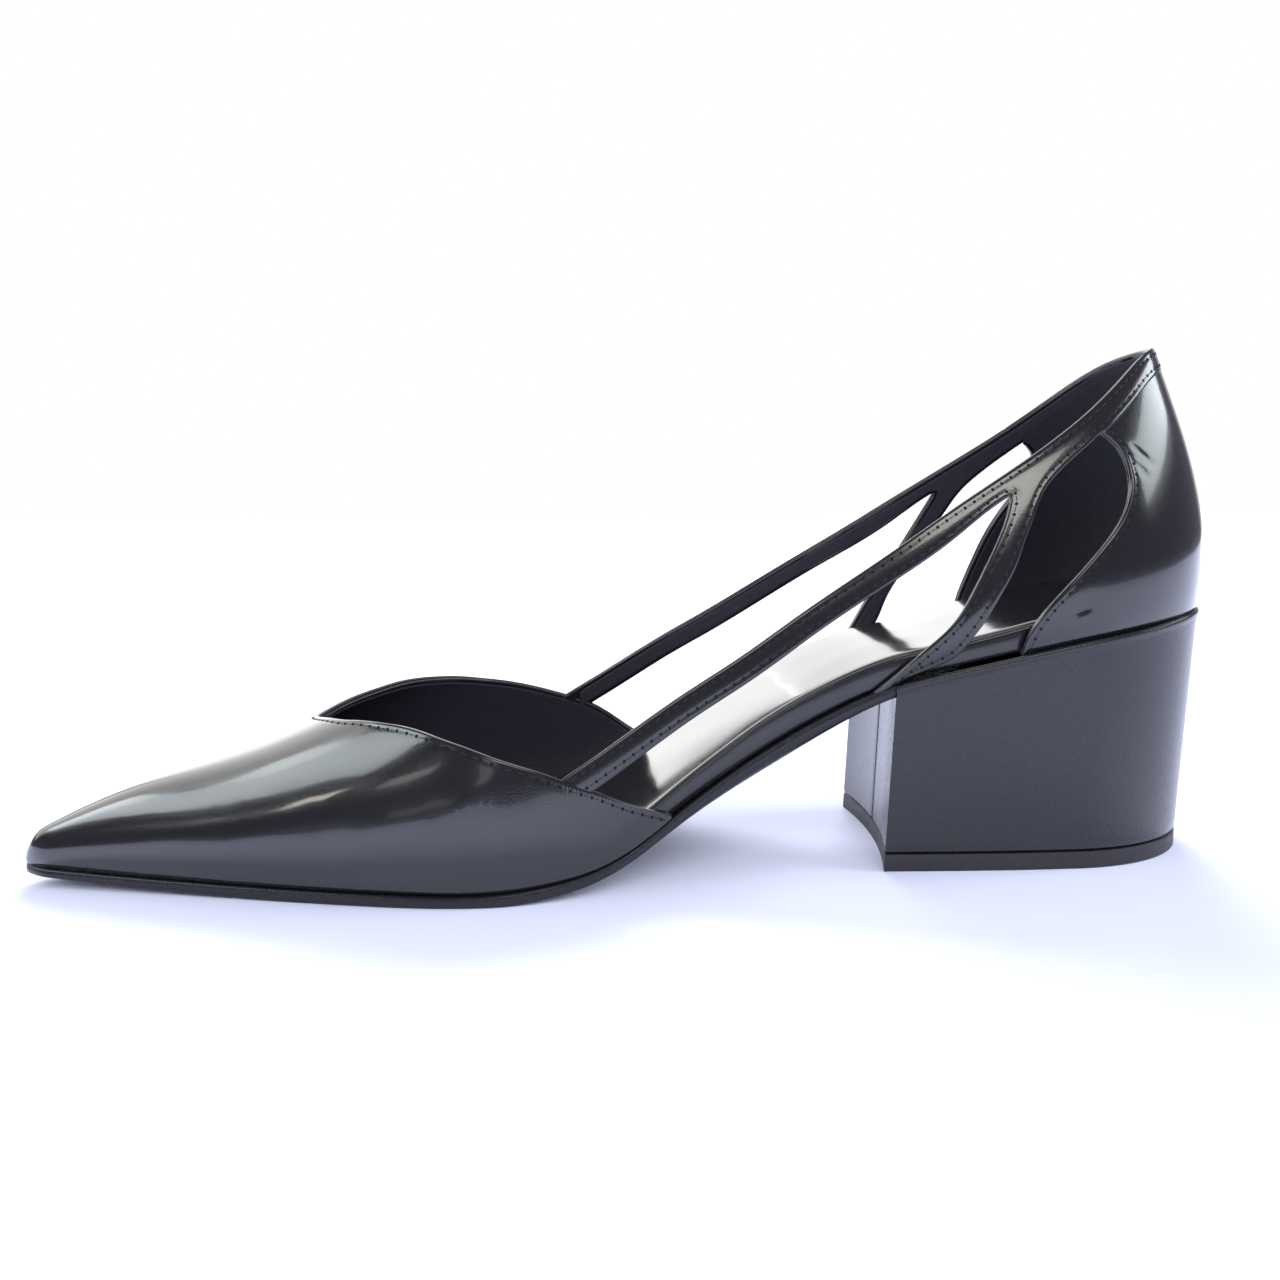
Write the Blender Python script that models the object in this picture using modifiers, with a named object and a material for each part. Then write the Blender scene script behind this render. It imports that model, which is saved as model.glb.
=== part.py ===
"""Right cut-out pump with a pointed toe, thin side straps and a covered block heel.

Stations run from the toe tip (0) to the back of the counter (LENGTH), along +X.
The medial side of the foot is -Y and the lateral side is +Y; the floor is Z = 0.
Sizes and tables are in millimetres; MM turns them into metres where a mesh is made.
"""

import math

import bmesh
import bpy
import numpy as np
from mathutils import Matrix

MM = 0.001
MERGE = 0.00002

# Upper
LENGTH = 255.0
WALL = 1.6
GAP = 0.3
TUCK = 1.2
TOE_ROUND = 6.0
NOSE_ROUND = 4.0
HEEL_ROUND = 32.0
LEAN_START = 185.0

# Insole
INSOLE_FRONT = 6.0
INSOLE_BACK = 252.4
INSOLE_INSET = 3.2
INSOLE_TOE_ROUND = 8.0
INSOLE_HEEL_ROUND = 29.5
INSOLE_EDGE = 1.0

# Outsole
OUTSOLE_END = 192.0
OUTSOLE_EDGE = 0.5
PLAIN_OUTSOLE = 2.5
ROUND_REACH = 2.0

# Heel and its top lift; the breast is the hollowed front face
LIFT_HEIGHT = 3.7
HEEL_START = 165.0
HEEL_BACK_TOP = 254.6
HEEL_BACK_FLOOR = 251.4
HEEL_SIDE_INSET = 0.2
HEEL_STRAIGHT = 0.62
HEEL_HEADROOM = 3.0
BREAST_MEDIAL = 177.7
BREAST_LATERAL = 182.6
BREAST_HALF_SPAN = 27.0
BREAST_HOLLOW = 2.4
BREAST_LEAN = 2.2
BREAST_TALL = 160.0
BREAST_BELOW = 60.0

# Cut-outs
THROAT = 58.9
THROAT_END = 78.0
THROAT_BLEND = 70.0
THROAT_FLOOR = 18.0
CUT_DEPTH = 80.0
CUT_TOP = 170.0
CUT_BACK = 262.0
CUT_STEP = 2.5
BELOW_FEATHER = 4.0
VAMP_MEETS_STRAP = (106.0, 130.0)
CROTCH_RANGE = (60.0, 82.0)

# Fineness of the meshes
UPPER_TURNS = 37
UPPER_STEP = 4.6
INSOLE_STEP = 5.0
OUTSOLE_STEP = 4.0
TOE_ROWS = 7
HEEL_ROWS = 13
HEEL_STRAIGHT_ROWS = 9
BREAST_SEGMENTS = 160
SEARCH_STEPS = 2000
ACROSS = (-1.0, -0.5, 0.0, 0.5, 1.0)
HEEL_LEVELS = (0.65, 0.3)

MEDIAL = -1
LATERAL = 1
SIDE_NAMES = {MEDIAL: "medial", LATERAL: "lateral"}


def table(names, *rows):
    """A short table as a dictionary of its columns."""
    return dict(zip(names.split(), np.array(rows, float).T))


# Plan of the sole: the centre line swings to the medial side at the toe
OUTLINE = table(
    "station centre half_width",
    (0, -14.0, 3.2),
    (20, -11.0, 11.5),
    (40, -8.0, 20.0),
    (60, -5.8, 27.8),
    (80, -4.1, 34.6),
    (95, -2.4, 38.0),
    (112, 0.1, 37.9),
    (130, 2.0, 34.2),
    (150, 2.5, 29.8),
    (168, 1.7, 27.5),
    (185, 0.6, 27.4),
    (212, 0.0, 28.4),
    (235, 0.0, 28.4),
    (255, 0.0, 28.4),
)

# Height of the top of the sole, which the upper and the insole stand on
PROFILE = table(
    "station sole_top",
    (0, 4.2),
    (20, 3.3),
    (40, 2.7),
    (60, 2.4),
    (80, 2.3),
    (98, 2.4),
    (110, 3.6),
    (118, 5.4),
    (126, 9.2),
    (134, 14.6),
    (143, 20.4),
    (151, 25.2),
    (168, 34.2),
    (180, 39.3),
    (192, 42.4),
    (217, 47.7),
    (250, 53.4),
)

# Thickness of the outsole and of the wrapped insole, and how far the outsole draws in at the waist
LAYERS = table(
    "station outsole insole outsole_inset",
    (0, 1.6, 3.0, 0.0),
    (40, 2.3, 3.4, 0.0),
    (90, 2.5, 3.8, 0.0),
    (110, 2.4, 4.4, 0.2),
    (128, 2.3, 5.0, 0.8),
    (138, 2.9, 5.3, 1.0),
    (147, 4.0, 5.8, 1.2),
    (156, 4.6, 6.2, 1.2),
    (166, 3.8, 6.1, 1.1),
    (176, 2.8, 5.8, 1.0),
    (195, 2.4, 5.2, 0.8),
    (210, 2.3, 5.8, 0.8),
    (255, 2.3, 6.2, 0.8),
)

# The last over the sole: crest height, fullness of the section, side swell and the height of that swell
LAST = table(
    "station crest fullness swell swell_height",
    (0, 9.8, 2.2, 1.4, 6.0),
    (7, 13.2, 2.35, 1.4, 6.4),
    (22, 19.6, 2.65, 1.4, 7.2),
    (34, 23.2, 2.8, 1.5, 8.0),
    (51, 28.9, 2.95, 1.6, 8.8),
    (59, 32.4, 3.0, 1.7, 9.2),
    (75, 40.5, 3.0, 1.8, 10.0),
    (95, 53.0, 3.0, 1.8, 10.8),
    (120, 70.0, 2.8, 1.7, 11.2),
    (150, 90.0, 2.3, 1.6, 11.6),
    (180, 105.0, 2.1, 1.8, 12.0),
    (205, 113.0, 2.0, 2.0, 13.0),
    (230, 118.0, 1.9, 2.1, 14.0),
    (255, 123.0, 1.9, 2.2, 15.0),
)

# Back of the counter: how far it stands in front of LENGTH at a height above the seat
BACK = table(
    "height forward",
    (0, 0.4),
    (8, 0.1),
    (15, 0.0),
    (24, 1.1),
    (34, 3.4),
    (44, 6.5),
    (54, 9.9),
    (62, 12.6),
    (80, 18.0),
)

# Edge of the vamp behind the throat: height on the medial side and how much higher the lateral side is
VAMP_EDGE = table(
    "station height rise",
    (58.9, 32.4, 0.0),
    (67, 34.4, 0.8),
    (75, 34.8, 1.8),
    (79, 34.6, 2.0),
    (83.4, 33.9, 2.35),
    (87.4, 32.7, 3.0),
    (91.3, 31.5, 3.4),
    (98.9, 28.7, 4.6),
    (106.5, 26.0, 5.2),
    (114.1, 22.7, 6.1),
    (119, 20.7, 6.3),
    (124, 18.3, 5.8),
    (129, 16.3, 4.3),
    (133.6, 14.4, 3.4),
    (142, 10.4, 3.0),
)

# Plan of the throat: the side coordinate of the vamp's edge on both sides
THROAT_PLAN = table(
    "station medial lateral",
    (58.9, -5.9, -5.9),
    (60.2, -10.0, -3.2),
    (62, -14.2, 0.2),
    (64.5, -18.4, 4.4),
    (67.2, -21.8, 8.6),
    (70, -24.3, 11.8),
    (74, -27.5, 15.6),
    (78.2, -30.4, 19.7),
    (84, -33.6, 24.6),
)

# Upper edge of the medial topline strap and the strap's width, from the vamp to the collar at the back
STRAP = table(
    "station height width",
    (100, 17.8, 5.5),
    (106, 21.4, 5.5),
    (112, 25.1, 5.5),
    (118, 28.7, 5.5),
    (135, 39.1, 5.4),
    (147, 46.0, 5.3),
    (160, 54.5, 5.2),
    (177, 65.6, 5.1),
    (193, 76.4, 5.0),
    (202, 82.15, 4.2),
    (210, 87.3, 5.1),
    (222, 95.9, 5.4),
    (231, 103.2, 5.4),
    (238, 108.2, 5.4),
    (246, 111.0, 5.4),
    (262, 111.5, 5.4),
)

# How much higher the topline strap lies on the lateral side
STRAP_RISE = table(
    "station lateral",
    (100, 3.7),
    (132, 3.7),
    (142, 4.0),
    (151, 3.9),
    (161, 3.5),
    (171, 3.1),
    (180, 2.5),
    (190, 1.8),
    (200, 1.4),
    (209, 1.1),
    (218, 0.6),
    (227, 0.1),
    (234, 0.0),
    (242, 0.0),
    (262, 0.0),
)

# Stations of the branch strap's front edge, from the sole up to the crotch under the topline strap
BRANCH_EDGE = table(
    "height medial lateral",
    (32, 168.5, 169.0),
    (38.3, 176.5, 177.6),
    (45.8, 184.4, 183.6),
    (51, 189.9, 186.6),
    (58.3, 194.7, 191.0),
    (66, 198.8, 195.6),
    (72.3, 201.8, 199.2),
    (78.4, 203.6, 202.6),
    (84, 204.4, 205.4),
)

# Stations of the teardrop's edges between the branch strap and the counter
TEARDROP = table(
    "height medial_front medial_rear lateral_front lateral_rear",
    (36, 175.2, 205.6, 175.6, 209.4),
    (41, 183.0, 205.8, 184.6, 209.4),
    (44.5, 190.7, 206.0, 188.6, 209.5),
    (47.8, 194.1, 206.5, 190.9, 209.8),
    (52, 197.2, 208.2, 192.6, 210.6),
    (57, 200.2, 212.0, 195.2, 212.4),
    (63, 203.6, 217.6, 199.0, 214.8),
    (69.5, 206.2, 223.4, 203.3, 217.6),
    (74, 208.2, 226.8, 206.3, 220.1),
    (79.6, 211.0, 229.0, 210.0, 223.8),
    (84.8, 216.2, 228.7, 215.6, 226.3),
    (88.6, 220.9, 226.6, 220.6, 226.4),
    (91, 223.8, 223.8, 224.0, 224.0),
)


def spline(xs, ys):
    """Natural cubic spline through the points, level with its end values outside them."""
    count = len(xs)
    steps = np.diff(xs)
    slopes = np.diff(ys) / steps
    system = np.eye(count)
    right = np.zeros(count)
    for i in range(1, count - 1):
        system[i, i - 1:i + 2] = steps[i - 1], 2 * (steps[i - 1] + steps[i]), steps[i]
        right[i] = 6 * (slopes[i] - slopes[i - 1])
    bend = np.linalg.solve(system, right)

    def value(x):
        x = np.clip(x, xs[0], xs[-1])
        i = np.clip(np.searchsorted(xs, x) - 1, 0, count - 2)
        before = x - xs[i]
        after = xs[i + 1] - x
        cubic = (bend[i] * after ** 3 + bend[i + 1] * before ** 3) / (6 * steps[i])
        start = (ys[i] / steps[i] - bend[i] * steps[i] / 6) * after
        end = (ys[i + 1] / steps[i] - bend[i + 1] * steps[i] / 6) * before
        return cubic + start + end

    return value


def curve(source, along, name):
    return spline(source[along], source[name])


def both_sides(source, along, ending=""):
    return {side: curve(source, along, name + ending) for side, name in SIDE_NAMES.items()}


centre = curve(OUTLINE, "station", "centre")
plain_half = curve(OUTLINE, "station", "half_width")
sole_top = curve(PROFILE, "station", "sole_top")
outsole_thickness = curve(LAYERS, "station", "outsole")
insole_thickness = curve(LAYERS, "station", "insole")
outsole_inset = curve(LAYERS, "station", "outsole_inset")
crest = curve(LAST, "station", "crest")
fullness = curve(LAST, "station", "fullness")
swell = curve(LAST, "station", "swell")
swell_height = curve(LAST, "station", "swell_height")
back_forward = curve(BACK, "height", "forward")
medial_vamp_edge = curve(VAMP_EDGE, "station", "height")
vamp_rise = curve(VAMP_EDGE, "station", "rise")
throat_side = both_sides(THROAT_PLAN, "station")
medial_strap_top = curve(STRAP, "station", "height")
strap_width = curve(STRAP, "station", "width")
strap_rise = curve(STRAP_RISE, "station", "lateral")
branch_edge = both_sides(BRANCH_EDGE, "height")
tear_front = both_sides(TEARDROP, "height", "_front")
tear_rear = both_sides(TEARDROP, "height", "_rear")


def vamp_edge(station, side):
    return medial_vamp_edge(station) + (vamp_rise(station) if side == LATERAL else 0.0)


def strap_top(station, side):
    return medial_strap_top(station) + (strap_rise(station) if side == LATERAL else 0.0)


def strap_low(station, side):
    """Lower edge of the topline strap: its width is measured across its run."""
    slope = strap_top(station + 0.5, side) - strap_top(station - 0.5, side)
    return strap_top(station, side) - strap_width(station) * np.sqrt(1.0 + slope * slope)


def round_end(share):
    """Quarter ellipse from 0 at an end to 1 where the full width starts."""
    share = np.clip(share, 0.0, 1.0)
    return np.sqrt(share * (2.0 - share))


def ease(start, end, x):
    share = np.clip((x - start) / (end - start), 0.0, 1.0)
    return share * share * (3.0 - 2.0 * share)


def ends(station, front=0.0, back=LENGTH, toe=TOE_ROUND, heel=HEEL_ROUND):
    return round_end((station - front) / toe) * round_end((back - station) / heel)


def stations(front, back, toe, heel, step):
    """Stations from front to back, close together where the ends round off."""
    toe_part = front + toe * (1.0 - np.cos(np.linspace(0.0, math.pi / 2, TOE_ROWS)))
    heel_part = back - heel * (1.0 - np.sin(np.linspace(0.0, math.pi / 2, HEEL_ROWS)))
    middle = np.linspace(toe_part[-1], heel_part[0], int((heel_part[0] - toe_part[-1]) / step))
    return np.concatenate([toe_part[:-1], middle[:-1], heel_part])


def swelling(station, height):
    """How far the last bulges out over its feather line at a height above that line."""
    above = height / swell_height(station)
    return swell(station) * above * np.exp(1.0 - above)


def wall(station, turn):
    """Outer face of the upper: turn -1 is the medial feather line, 0 the crest, 1 the lateral feather line."""
    angle = (1.0 - abs(turn)) * math.pi / 2
    power = 2.0 / fullness(station)
    width_share = math.cos(angle) ** power
    height_share = math.sin(angle) ** power
    feather = sole_top(station) + GAP
    height = (crest(station) - feather) * round_end(station / NOSE_ROUND) * height_share
    half = max(plain_half(station) - TUCK, 0.0) + swelling(station, height)
    half = half * width_share * ends(station)
    forward = back_forward(height) * ease(LEAN_START, LENGTH, station)
    return station - forward, centre(station) + np.sign(turn) * half, feather + height


def half_at(station, level):
    """Half breadth of the upper's outer face at a level above the floor, away from the rounded ends."""
    feather = sole_top(station) + GAP
    power = fullness(station)
    share = np.clip((level - feather) / (crest(station) - feather), 0.0, 1.0)
    width_share = (1.0 - share ** power) ** (1.0 / power)
    return (plain_half(station) - TUCK + swelling(station, level - feather)) * width_share


def skin(rows, closed):
    """Quads over rows of points, with end faces where a closed row has an area."""
    bm = bmesh.new()
    grid = [[bm.verts.new([value * MM for value in point]) for point in row] for row in rows]
    count = len(rows[0])
    for near, far in zip(grid, grid[1:]):
        for i in range(count if closed else count - 1):
            j = (i + 1) % count
            bm.faces.new((near[i], near[j], far[j], far[i]))
    for ring, row in ((grid[0], rows[0]), (grid[-1], rows[-1])):
        if closed and np.ptp(np.array(row)[:, 1]) > 1.0:
            bm.faces.new(ring)
    bmesh.ops.remove_doubles(bm, verts=bm.verts, dist=MERGE)
    bmesh.ops.dissolve_degenerate(bm, edges=bm.edges, dist=MERGE)
    bmesh.ops.recalc_face_normals(bm, faces=bm.faces)
    return bm


def finish(bm, name, collection):
    mesh = bpy.data.meshes.new(name)
    bm.to_mesh(mesh)
    bm.free()
    part = bpy.data.objects.new(name, mesh)
    collection.objects.link(part)
    return part


def material(part, colour, roughness):
    made = bpy.data.materials.new(part.name)
    made.use_nodes = True
    shader = made.node_tree.nodes["Principled BSDF"]
    shader.inputs["Base Color"].default_value = (*colour, 1.0)
    shader.inputs["Roughness"].default_value = roughness
    part.data.materials.append(made)


def cutter(part):
    part.hide_render = True
    part.display_type = "WIRE"
    return part


def cut(part, tool):
    modifier = part.modifiers.new("cut " + tool.name, "BOOLEAN")
    modifier.operation = "DIFFERENCE"
    modifier.solver = "EXACT"
    modifier.object = tool


def prism(outline, reach, name, collection):
    """A cutter made by moving a flat outline of points along the reach."""
    bm = bmesh.new()
    face = bm.faces.new([bm.verts.new([value * MM for value in point]) for point in outline])
    moved = bmesh.ops.extrude_face_region(bm, geom=[face])["geom"]
    corners = [item for item in moved if isinstance(item, bmesh.types.BMVert)]
    bmesh.ops.translate(bm, verts=corners, vec=[value * MM for value in reach])
    bmesh.ops.recalc_face_normals(bm, faces=bm.faces)
    return cutter(finish(bm, name, collection))


def side_prism(outline, side, name, collection):
    """A cutter drawn in side view, reaching out from the middle over one side of the shoe."""
    inner = centre(THROAT) - side * GAP
    points = [(x, inner, z) for x, z in outline]
    return prism(points, (0.0, side * CUT_DEPTH, 0.0), SIDE_NAMES[side] + "_" + name, collection)


def span(start, end):
    return np.linspace(start, end, max(int(abs(end - start) / CUT_STEP), 2) + 1)


def crossing(first, second, limits):
    """Where the difference of two curves changes sign between the limits."""
    x = np.linspace(*limits, SEARCH_STEPS)
    difference = first(x) - second(x)
    return x[np.argmax(difference * difference[0] < 0.0)]


def throat():
    """Front of the foot opening in plan, from the throat point back to where the side view takes over."""
    sides = {}
    station = span(THROAT, THROAT_END)[1:]
    for side in SIDE_NAMES:
        plan = throat_side[side](station)
        view = centre(station) + side * half_at(station, vamp_edge(station, side))
        sides[side] = list(zip(station, plan + (view - plan) * ease(THROAT_BLEND, THROAT_END, station)))
    return sides[MEDIAL][::-1] + [(THROAT, centre(THROAT))] + sides[LATERAL]


def foot_opening(side):
    corner = crossing(lambda s: vamp_edge(s, side), lambda s: strap_top(s, side), VAMP_MEETS_STRAP)
    vamp = [(s, vamp_edge(s, side)) for s in span(THROAT_END - GAP, corner)]
    strap = [(s, strap_top(s, side)) for s in span(corner, CUT_BACK)[1:]]
    return vamp + strap + [(CUT_BACK, CUT_TOP), (THROAT_END - GAP, CUT_TOP)]


def side_window(side):
    branch = branch_edge[side]
    front = crossing(lambda s: vamp_edge(s, side), lambda s: strap_low(s, side), VAMP_MEETS_STRAP)
    crotch = crossing(lambda z: strap_low(branch(z), side), lambda z: z, CROTCH_RANGE)
    low = BRANCH_EDGE["height"][0]
    vamp_end = VAMP_EDGE["station"][-1]
    strap_part = [(s, strap_low(s, side)) for s in span(front, branch(crotch))]
    branch_part = [(branch(z), z) for z in span(crotch, low)[1:]]
    under_part = [(s, sole_top(s) - BELOW_FEATHER) for s in span(branch(low) - 1.0, vamp_end + 1.0)]
    vamp_part = [(s, vamp_edge(s, side)) for s in span(vamp_end, front)[:-1] if vamp_edge(s, side) > sole_top(s)]
    return strap_part + branch_part + under_part + vamp_part


def teardrop(side):
    low = TEARDROP["height"][0]
    top = TEARDROP["height"][-1]
    front = [(tear_front[side](z), z) for z in span(low, top)]
    rear = [(tear_rear[side](z), z) for z in span(top, low)[1:]]
    return front + rear


def build_upper(parts, cutters):
    turns = np.linspace(-1.0, 1.0, UPPER_TURNS)
    along = stations(0.0, LENGTH, TOE_ROUND, HEEL_ROUND, UPPER_STEP)
    bm = skin([[wall(s, turn) for turn in turns] for s in along], closed=False)
    bm.faces.ensure_lookup_table()
    widest = max(bm.faces, key=lambda face: face.calc_center_median().y)
    if widest.normal.y < 0.0:
        bmesh.ops.reverse_faces(bm, faces=bm.faces)
    upper = finish(bm, "upper", parts)
    shell = upper.modifiers.new("leather and lining", "SOLIDIFY")
    shell.thickness = WALL * MM
    shell.offset = -1.0
    shell.use_even_offset = True
    plan = [(x, y, THROAT_FLOOR) for x, y in throat()]
    cut(upper, prism(plan, (0.0, 0.0, CUT_DEPTH), "throat", cutters))
    for shape in (foot_opening, side_window, teardrop):
        for side in SIDE_NAMES:
            cut(upper, side_prism(shape(side), side, shape.__name__, cutters))
    material(upper, (0.015, 0.015, 0.018), 0.2)
    return upper


def slab_ring(station, half, low, high, edge, under=0.0):
    """Cross-section of a layer with its long edges taken off; under rounds the lower ones further."""
    middle = centre(station)
    edge = min(edge, 0.4 * half, 0.4 * (high - low))
    rise = edge + under
    reach = edge + ROUND_REACH * under
    top = [((half - edge) * share, high) for share in ACROSS]
    bottom = [((half - reach) * share, low) for share in reversed(ACROSS)]
    lateral_side = [(half, high - edge), (half, low + rise), (half - 0.3 * reach, low + 0.3 * rise)]
    medial_side = [(-y, z) for y, z in reversed(lateral_side)]
    return [(station, middle + y, z) for y, z in top + lateral_side + bottom + medial_side]


def build_insole(parts):
    rows = []
    for s in stations(INSOLE_FRONT, INSOLE_BACK, INSOLE_TOE_ROUND, INSOLE_HEEL_ROUND, INSOLE_STEP):
        half = plain_half(s) - INSOLE_INSET
        half = half * ends(s, INSOLE_FRONT, INSOLE_BACK, INSOLE_TOE_ROUND, INSOLE_HEEL_ROUND)
        low = sole_top(s) + GAP
        rows.append(slab_ring(s, half, low, low + insole_thickness(s), INSOLE_EDGE))
    insole = finish(skin(rows, closed=True), "insole", parts)
    material(insole, (0.02, 0.02, 0.022), 0.15)
    return insole


def heel_shares():
    """Shares of the heel's length from its start to its back, close together at the round back."""
    rounding = np.sin(np.linspace(0.0, math.pi / 2, HEEL_ROWS))
    straight = np.linspace(0.0, HEEL_STRAIGHT, HEEL_STRAIGHT_ROWS)
    return np.concatenate([straight, HEEL_STRAIGHT + (1.0 - HEEL_STRAIGHT) * rounding[1:]])


def heel_solid(grow, headroom, name, collection):
    """D-shaped block under the seat, before its breast is hollowed; grow makes the clearance copy."""
    outline = [(1.0, y) for y in ACROSS] + [(level, 1.0) for level in HEEL_LEVELS]
    outline += [(0.0, y) for y in reversed(ACROSS)] + [(level, -1.0) for level in reversed(HEEL_LEVELS)]
    floor_z = LIFT_HEIGHT + GAP
    rows = []
    for share in heel_shares():
        ring = []
        for level, across in outline:
            back = HEEL_BACK_FLOOR + level * (HEEL_BACK_TOP - HEEL_BACK_FLOOR) + grow
            x = HEEL_START + share * (back - HEEL_START)
            half = (plain_half(x) - HEEL_SIDE_INSET + grow) * round_end((back - x) / HEEL_ROUND)
            z = floor_z + level * (sole_top(x) + headroom - floor_z)
            ring.append((x, centre(x) + across * half, z))
        rows.append(ring)
    return finish(skin(rows, closed=True), name, collection)


def breast_cutter(clearance, name, collection):
    """Leaning cylinder that hollows the front of the heel between its two corners."""
    chord = BREAST_LATERAL - BREAST_MEDIAL
    half_chord = math.hypot(chord / 2, BREAST_HALF_SPAN)
    radius = (half_chord ** 2 + BREAST_HOLLOW ** 2) / (2 * BREAST_HOLLOW)
    across = math.atan2(chord, 2 * BREAST_HALF_SPAN)
    reach = radius - BREAST_HOLLOW
    middle = (BREAST_MEDIAL + BREAST_LATERAL) / 2
    axis = Matrix.Translation((
        (middle - reach * math.cos(across)) * MM,
        (centre(middle) + reach * math.sin(across)) * MM,
        0.0,
    ))
    lean = Matrix.Rotation(math.atan2(BREAST_LEAN, sole_top(middle)), 4, "Y")
    rise_to_middle = Matrix.Translation((0.0, 0.0, (BREAST_TALL / 2 - BREAST_BELOW) * MM))
    size = (radius - clearance) * MM
    bm = bmesh.new()
    bmesh.ops.create_cone(bm, cap_ends=True, segments=BREAST_SEGMENTS, radius1=size, radius2=size,
                          depth=BREAST_TALL * MM, matrix=axis @ lean @ rise_to_middle)
    return cutter(finish(bm, name, collection))


def build_heel(parts, breast):
    heel = heel_solid(0.0, 0.0, "heel_block", parts)
    cut(heel, breast)
    material(heel, (0.02, 0.021, 0.025), 0.35)
    return heel


def build_lift(parts, breast):
    rows = []
    for share in heel_shares():
        s = HEEL_START + share * (HEEL_BACK_FLOOR - HEEL_START)
        half = (plain_half(s) - HEEL_SIDE_INSET) * round_end((HEEL_BACK_FLOOR - s) / HEEL_ROUND)
        rows.append(slab_ring(s, half, 0.0, LIFT_HEIGHT, 0.0))
    lift = finish(skin(rows, closed=True), "top_lift", parts)
    cut(lift, breast)
    material(lift, (0.01, 0.01, 0.01), 0.6)
    return lift


def build_outsole(parts, cutters):
    rows = []
    along = stations(0.0, LENGTH, TOE_ROUND, HEEL_ROUND, OUTSOLE_STEP)
    for s in np.append(along[along < OUTSOLE_END - 1.0], OUTSOLE_END):
        half = (plain_half(s) - outsole_inset(s)) * ends(s)
        high = sole_top(s)
        low = max(high - outsole_thickness(s), 0.0)
        under = max(outsole_thickness(s) - PLAIN_OUTSOLE, 0.0)
        rows.append(slab_ring(s, half, low, high, OUTSOLE_EDGE, under))
    outsole = finish(skin(rows, closed=True), "outsole", parts)
    heel_room = cutter(heel_solid(GAP, HEEL_HEADROOM, "heel_room", cutters))
    cut(heel_room, breast_cutter(GAP, "breast_room", cutters))
    cut(outsole, heel_room)
    material(outsole, (0.008, 0.008, 0.008), 0.5)
    return outsole


def main():
    for item in list(bpy.data.objects):
        bpy.data.objects.remove(item, do_unlink=True)
    parts = bpy.data.collections.new("cut_out_pump")
    cutters = bpy.data.collections.new("cutters")
    for collection in (parts, cutters):
        bpy.context.scene.collection.children.link(collection)
    breast = breast_cutter(0.0, "breast", cutters)
    made = [
        build_upper(parts, cutters),
        build_insole(parts),
        build_heel(parts, breast),
        build_lift(parts, breast),
        build_outsole(parts, cutters),
    ]
    corners = np.array([vertex.co for part in made for vertex in part.data.vertices])
    middle = (corners.min(axis=0) + corners.max(axis=0)) / 2
    root = bpy.data.objects.new("pump_origin", None)
    root.location = (-middle[0], -middle[1], 0.0)
    parts.objects.link(root)
    for item in made + list(cutters.objects):
        item.parent = root


main()
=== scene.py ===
"""Looks of the right cut-out pump: leather panels, lining, stitches, sock, sole and covered heel.

Sizes are millimetres in the shoe's own frame: station from the toe tip (0) to the back (LENGTH), side from
the heel's middle line (the medial side is negative) and height above the floor.
A flat coordinate is a place on a piece of leather before it is bent round the last, also in millimetres.
"""

import math

import bmesh
import bpy
import numpy as np
from mathutils import Matrix, Vector
from mathutils.geometry import delaunay_2d_cdt
from mathutils.kdtree import KDTree


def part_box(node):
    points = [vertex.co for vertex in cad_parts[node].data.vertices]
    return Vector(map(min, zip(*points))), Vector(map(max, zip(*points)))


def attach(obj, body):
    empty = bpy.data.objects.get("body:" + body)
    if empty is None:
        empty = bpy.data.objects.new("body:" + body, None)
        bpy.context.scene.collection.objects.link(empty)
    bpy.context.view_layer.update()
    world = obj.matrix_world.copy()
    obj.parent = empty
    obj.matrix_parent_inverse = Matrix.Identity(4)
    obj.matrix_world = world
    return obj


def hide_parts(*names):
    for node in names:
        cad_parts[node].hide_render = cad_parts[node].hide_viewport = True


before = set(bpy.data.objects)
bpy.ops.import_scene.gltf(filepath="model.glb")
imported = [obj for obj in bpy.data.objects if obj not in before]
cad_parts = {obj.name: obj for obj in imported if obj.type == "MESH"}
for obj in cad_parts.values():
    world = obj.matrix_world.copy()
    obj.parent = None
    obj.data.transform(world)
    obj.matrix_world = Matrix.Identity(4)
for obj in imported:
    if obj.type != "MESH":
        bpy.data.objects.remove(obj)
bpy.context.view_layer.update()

MM = 0.001
MERGE = 0.00002

# Last and sole, as in the solids
LENGTH = 255.0
GAP = 0.3
TUCK = 1.2
TOE_ROUND = 6.0
NOSE_ROUND = 4.0
HEEL_ROUND = 32.0
LEAN_START = 185.0
THROAT = 58.9
THROAT_BLEND = (70.0, 82.0)
OUTSOLE_END = 184.0
OUTSOLE_EDGE = 0.5
OUTSOLE_BULGE = 0.1
PLAIN_OUTSOLE = 2.5
ROUND_REACH = 2.0

# Leather: thickness, how far the outer face stands off the last, and the folded edge with its stitch row
VAMP_THICK = 1.5
VAMP_LIFT = 0.1
STRAP_THICK = 1.5
STRAP_LIFT = 0.25
COUNTER_THICK = 1.7
LINING_THICK = 0.5
LINING_INSET = 1.1
STRAP_DIVE = (106.0, 119.0)
DIVE_DEPTH = 0.6
STRAP_FRONT = 104.0
STRAP_LINING_FRONT = 116.5
BAND_COVERS = 2.5
PILLOW = 0.1
PILLOW_WIDTH = 2.5
STITCH_INSET = 1.35
STITCH_PITCH = 2.3
STITCH_LENGTH = 1.8
THREAD_RADIUS = 0.1
HOLE_RADIUS = 0.36
GROOVE_DEPTH = 0.03
GROOVE_WIDTH = 0.36
BELOW_FEATHER = 0.5

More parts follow.
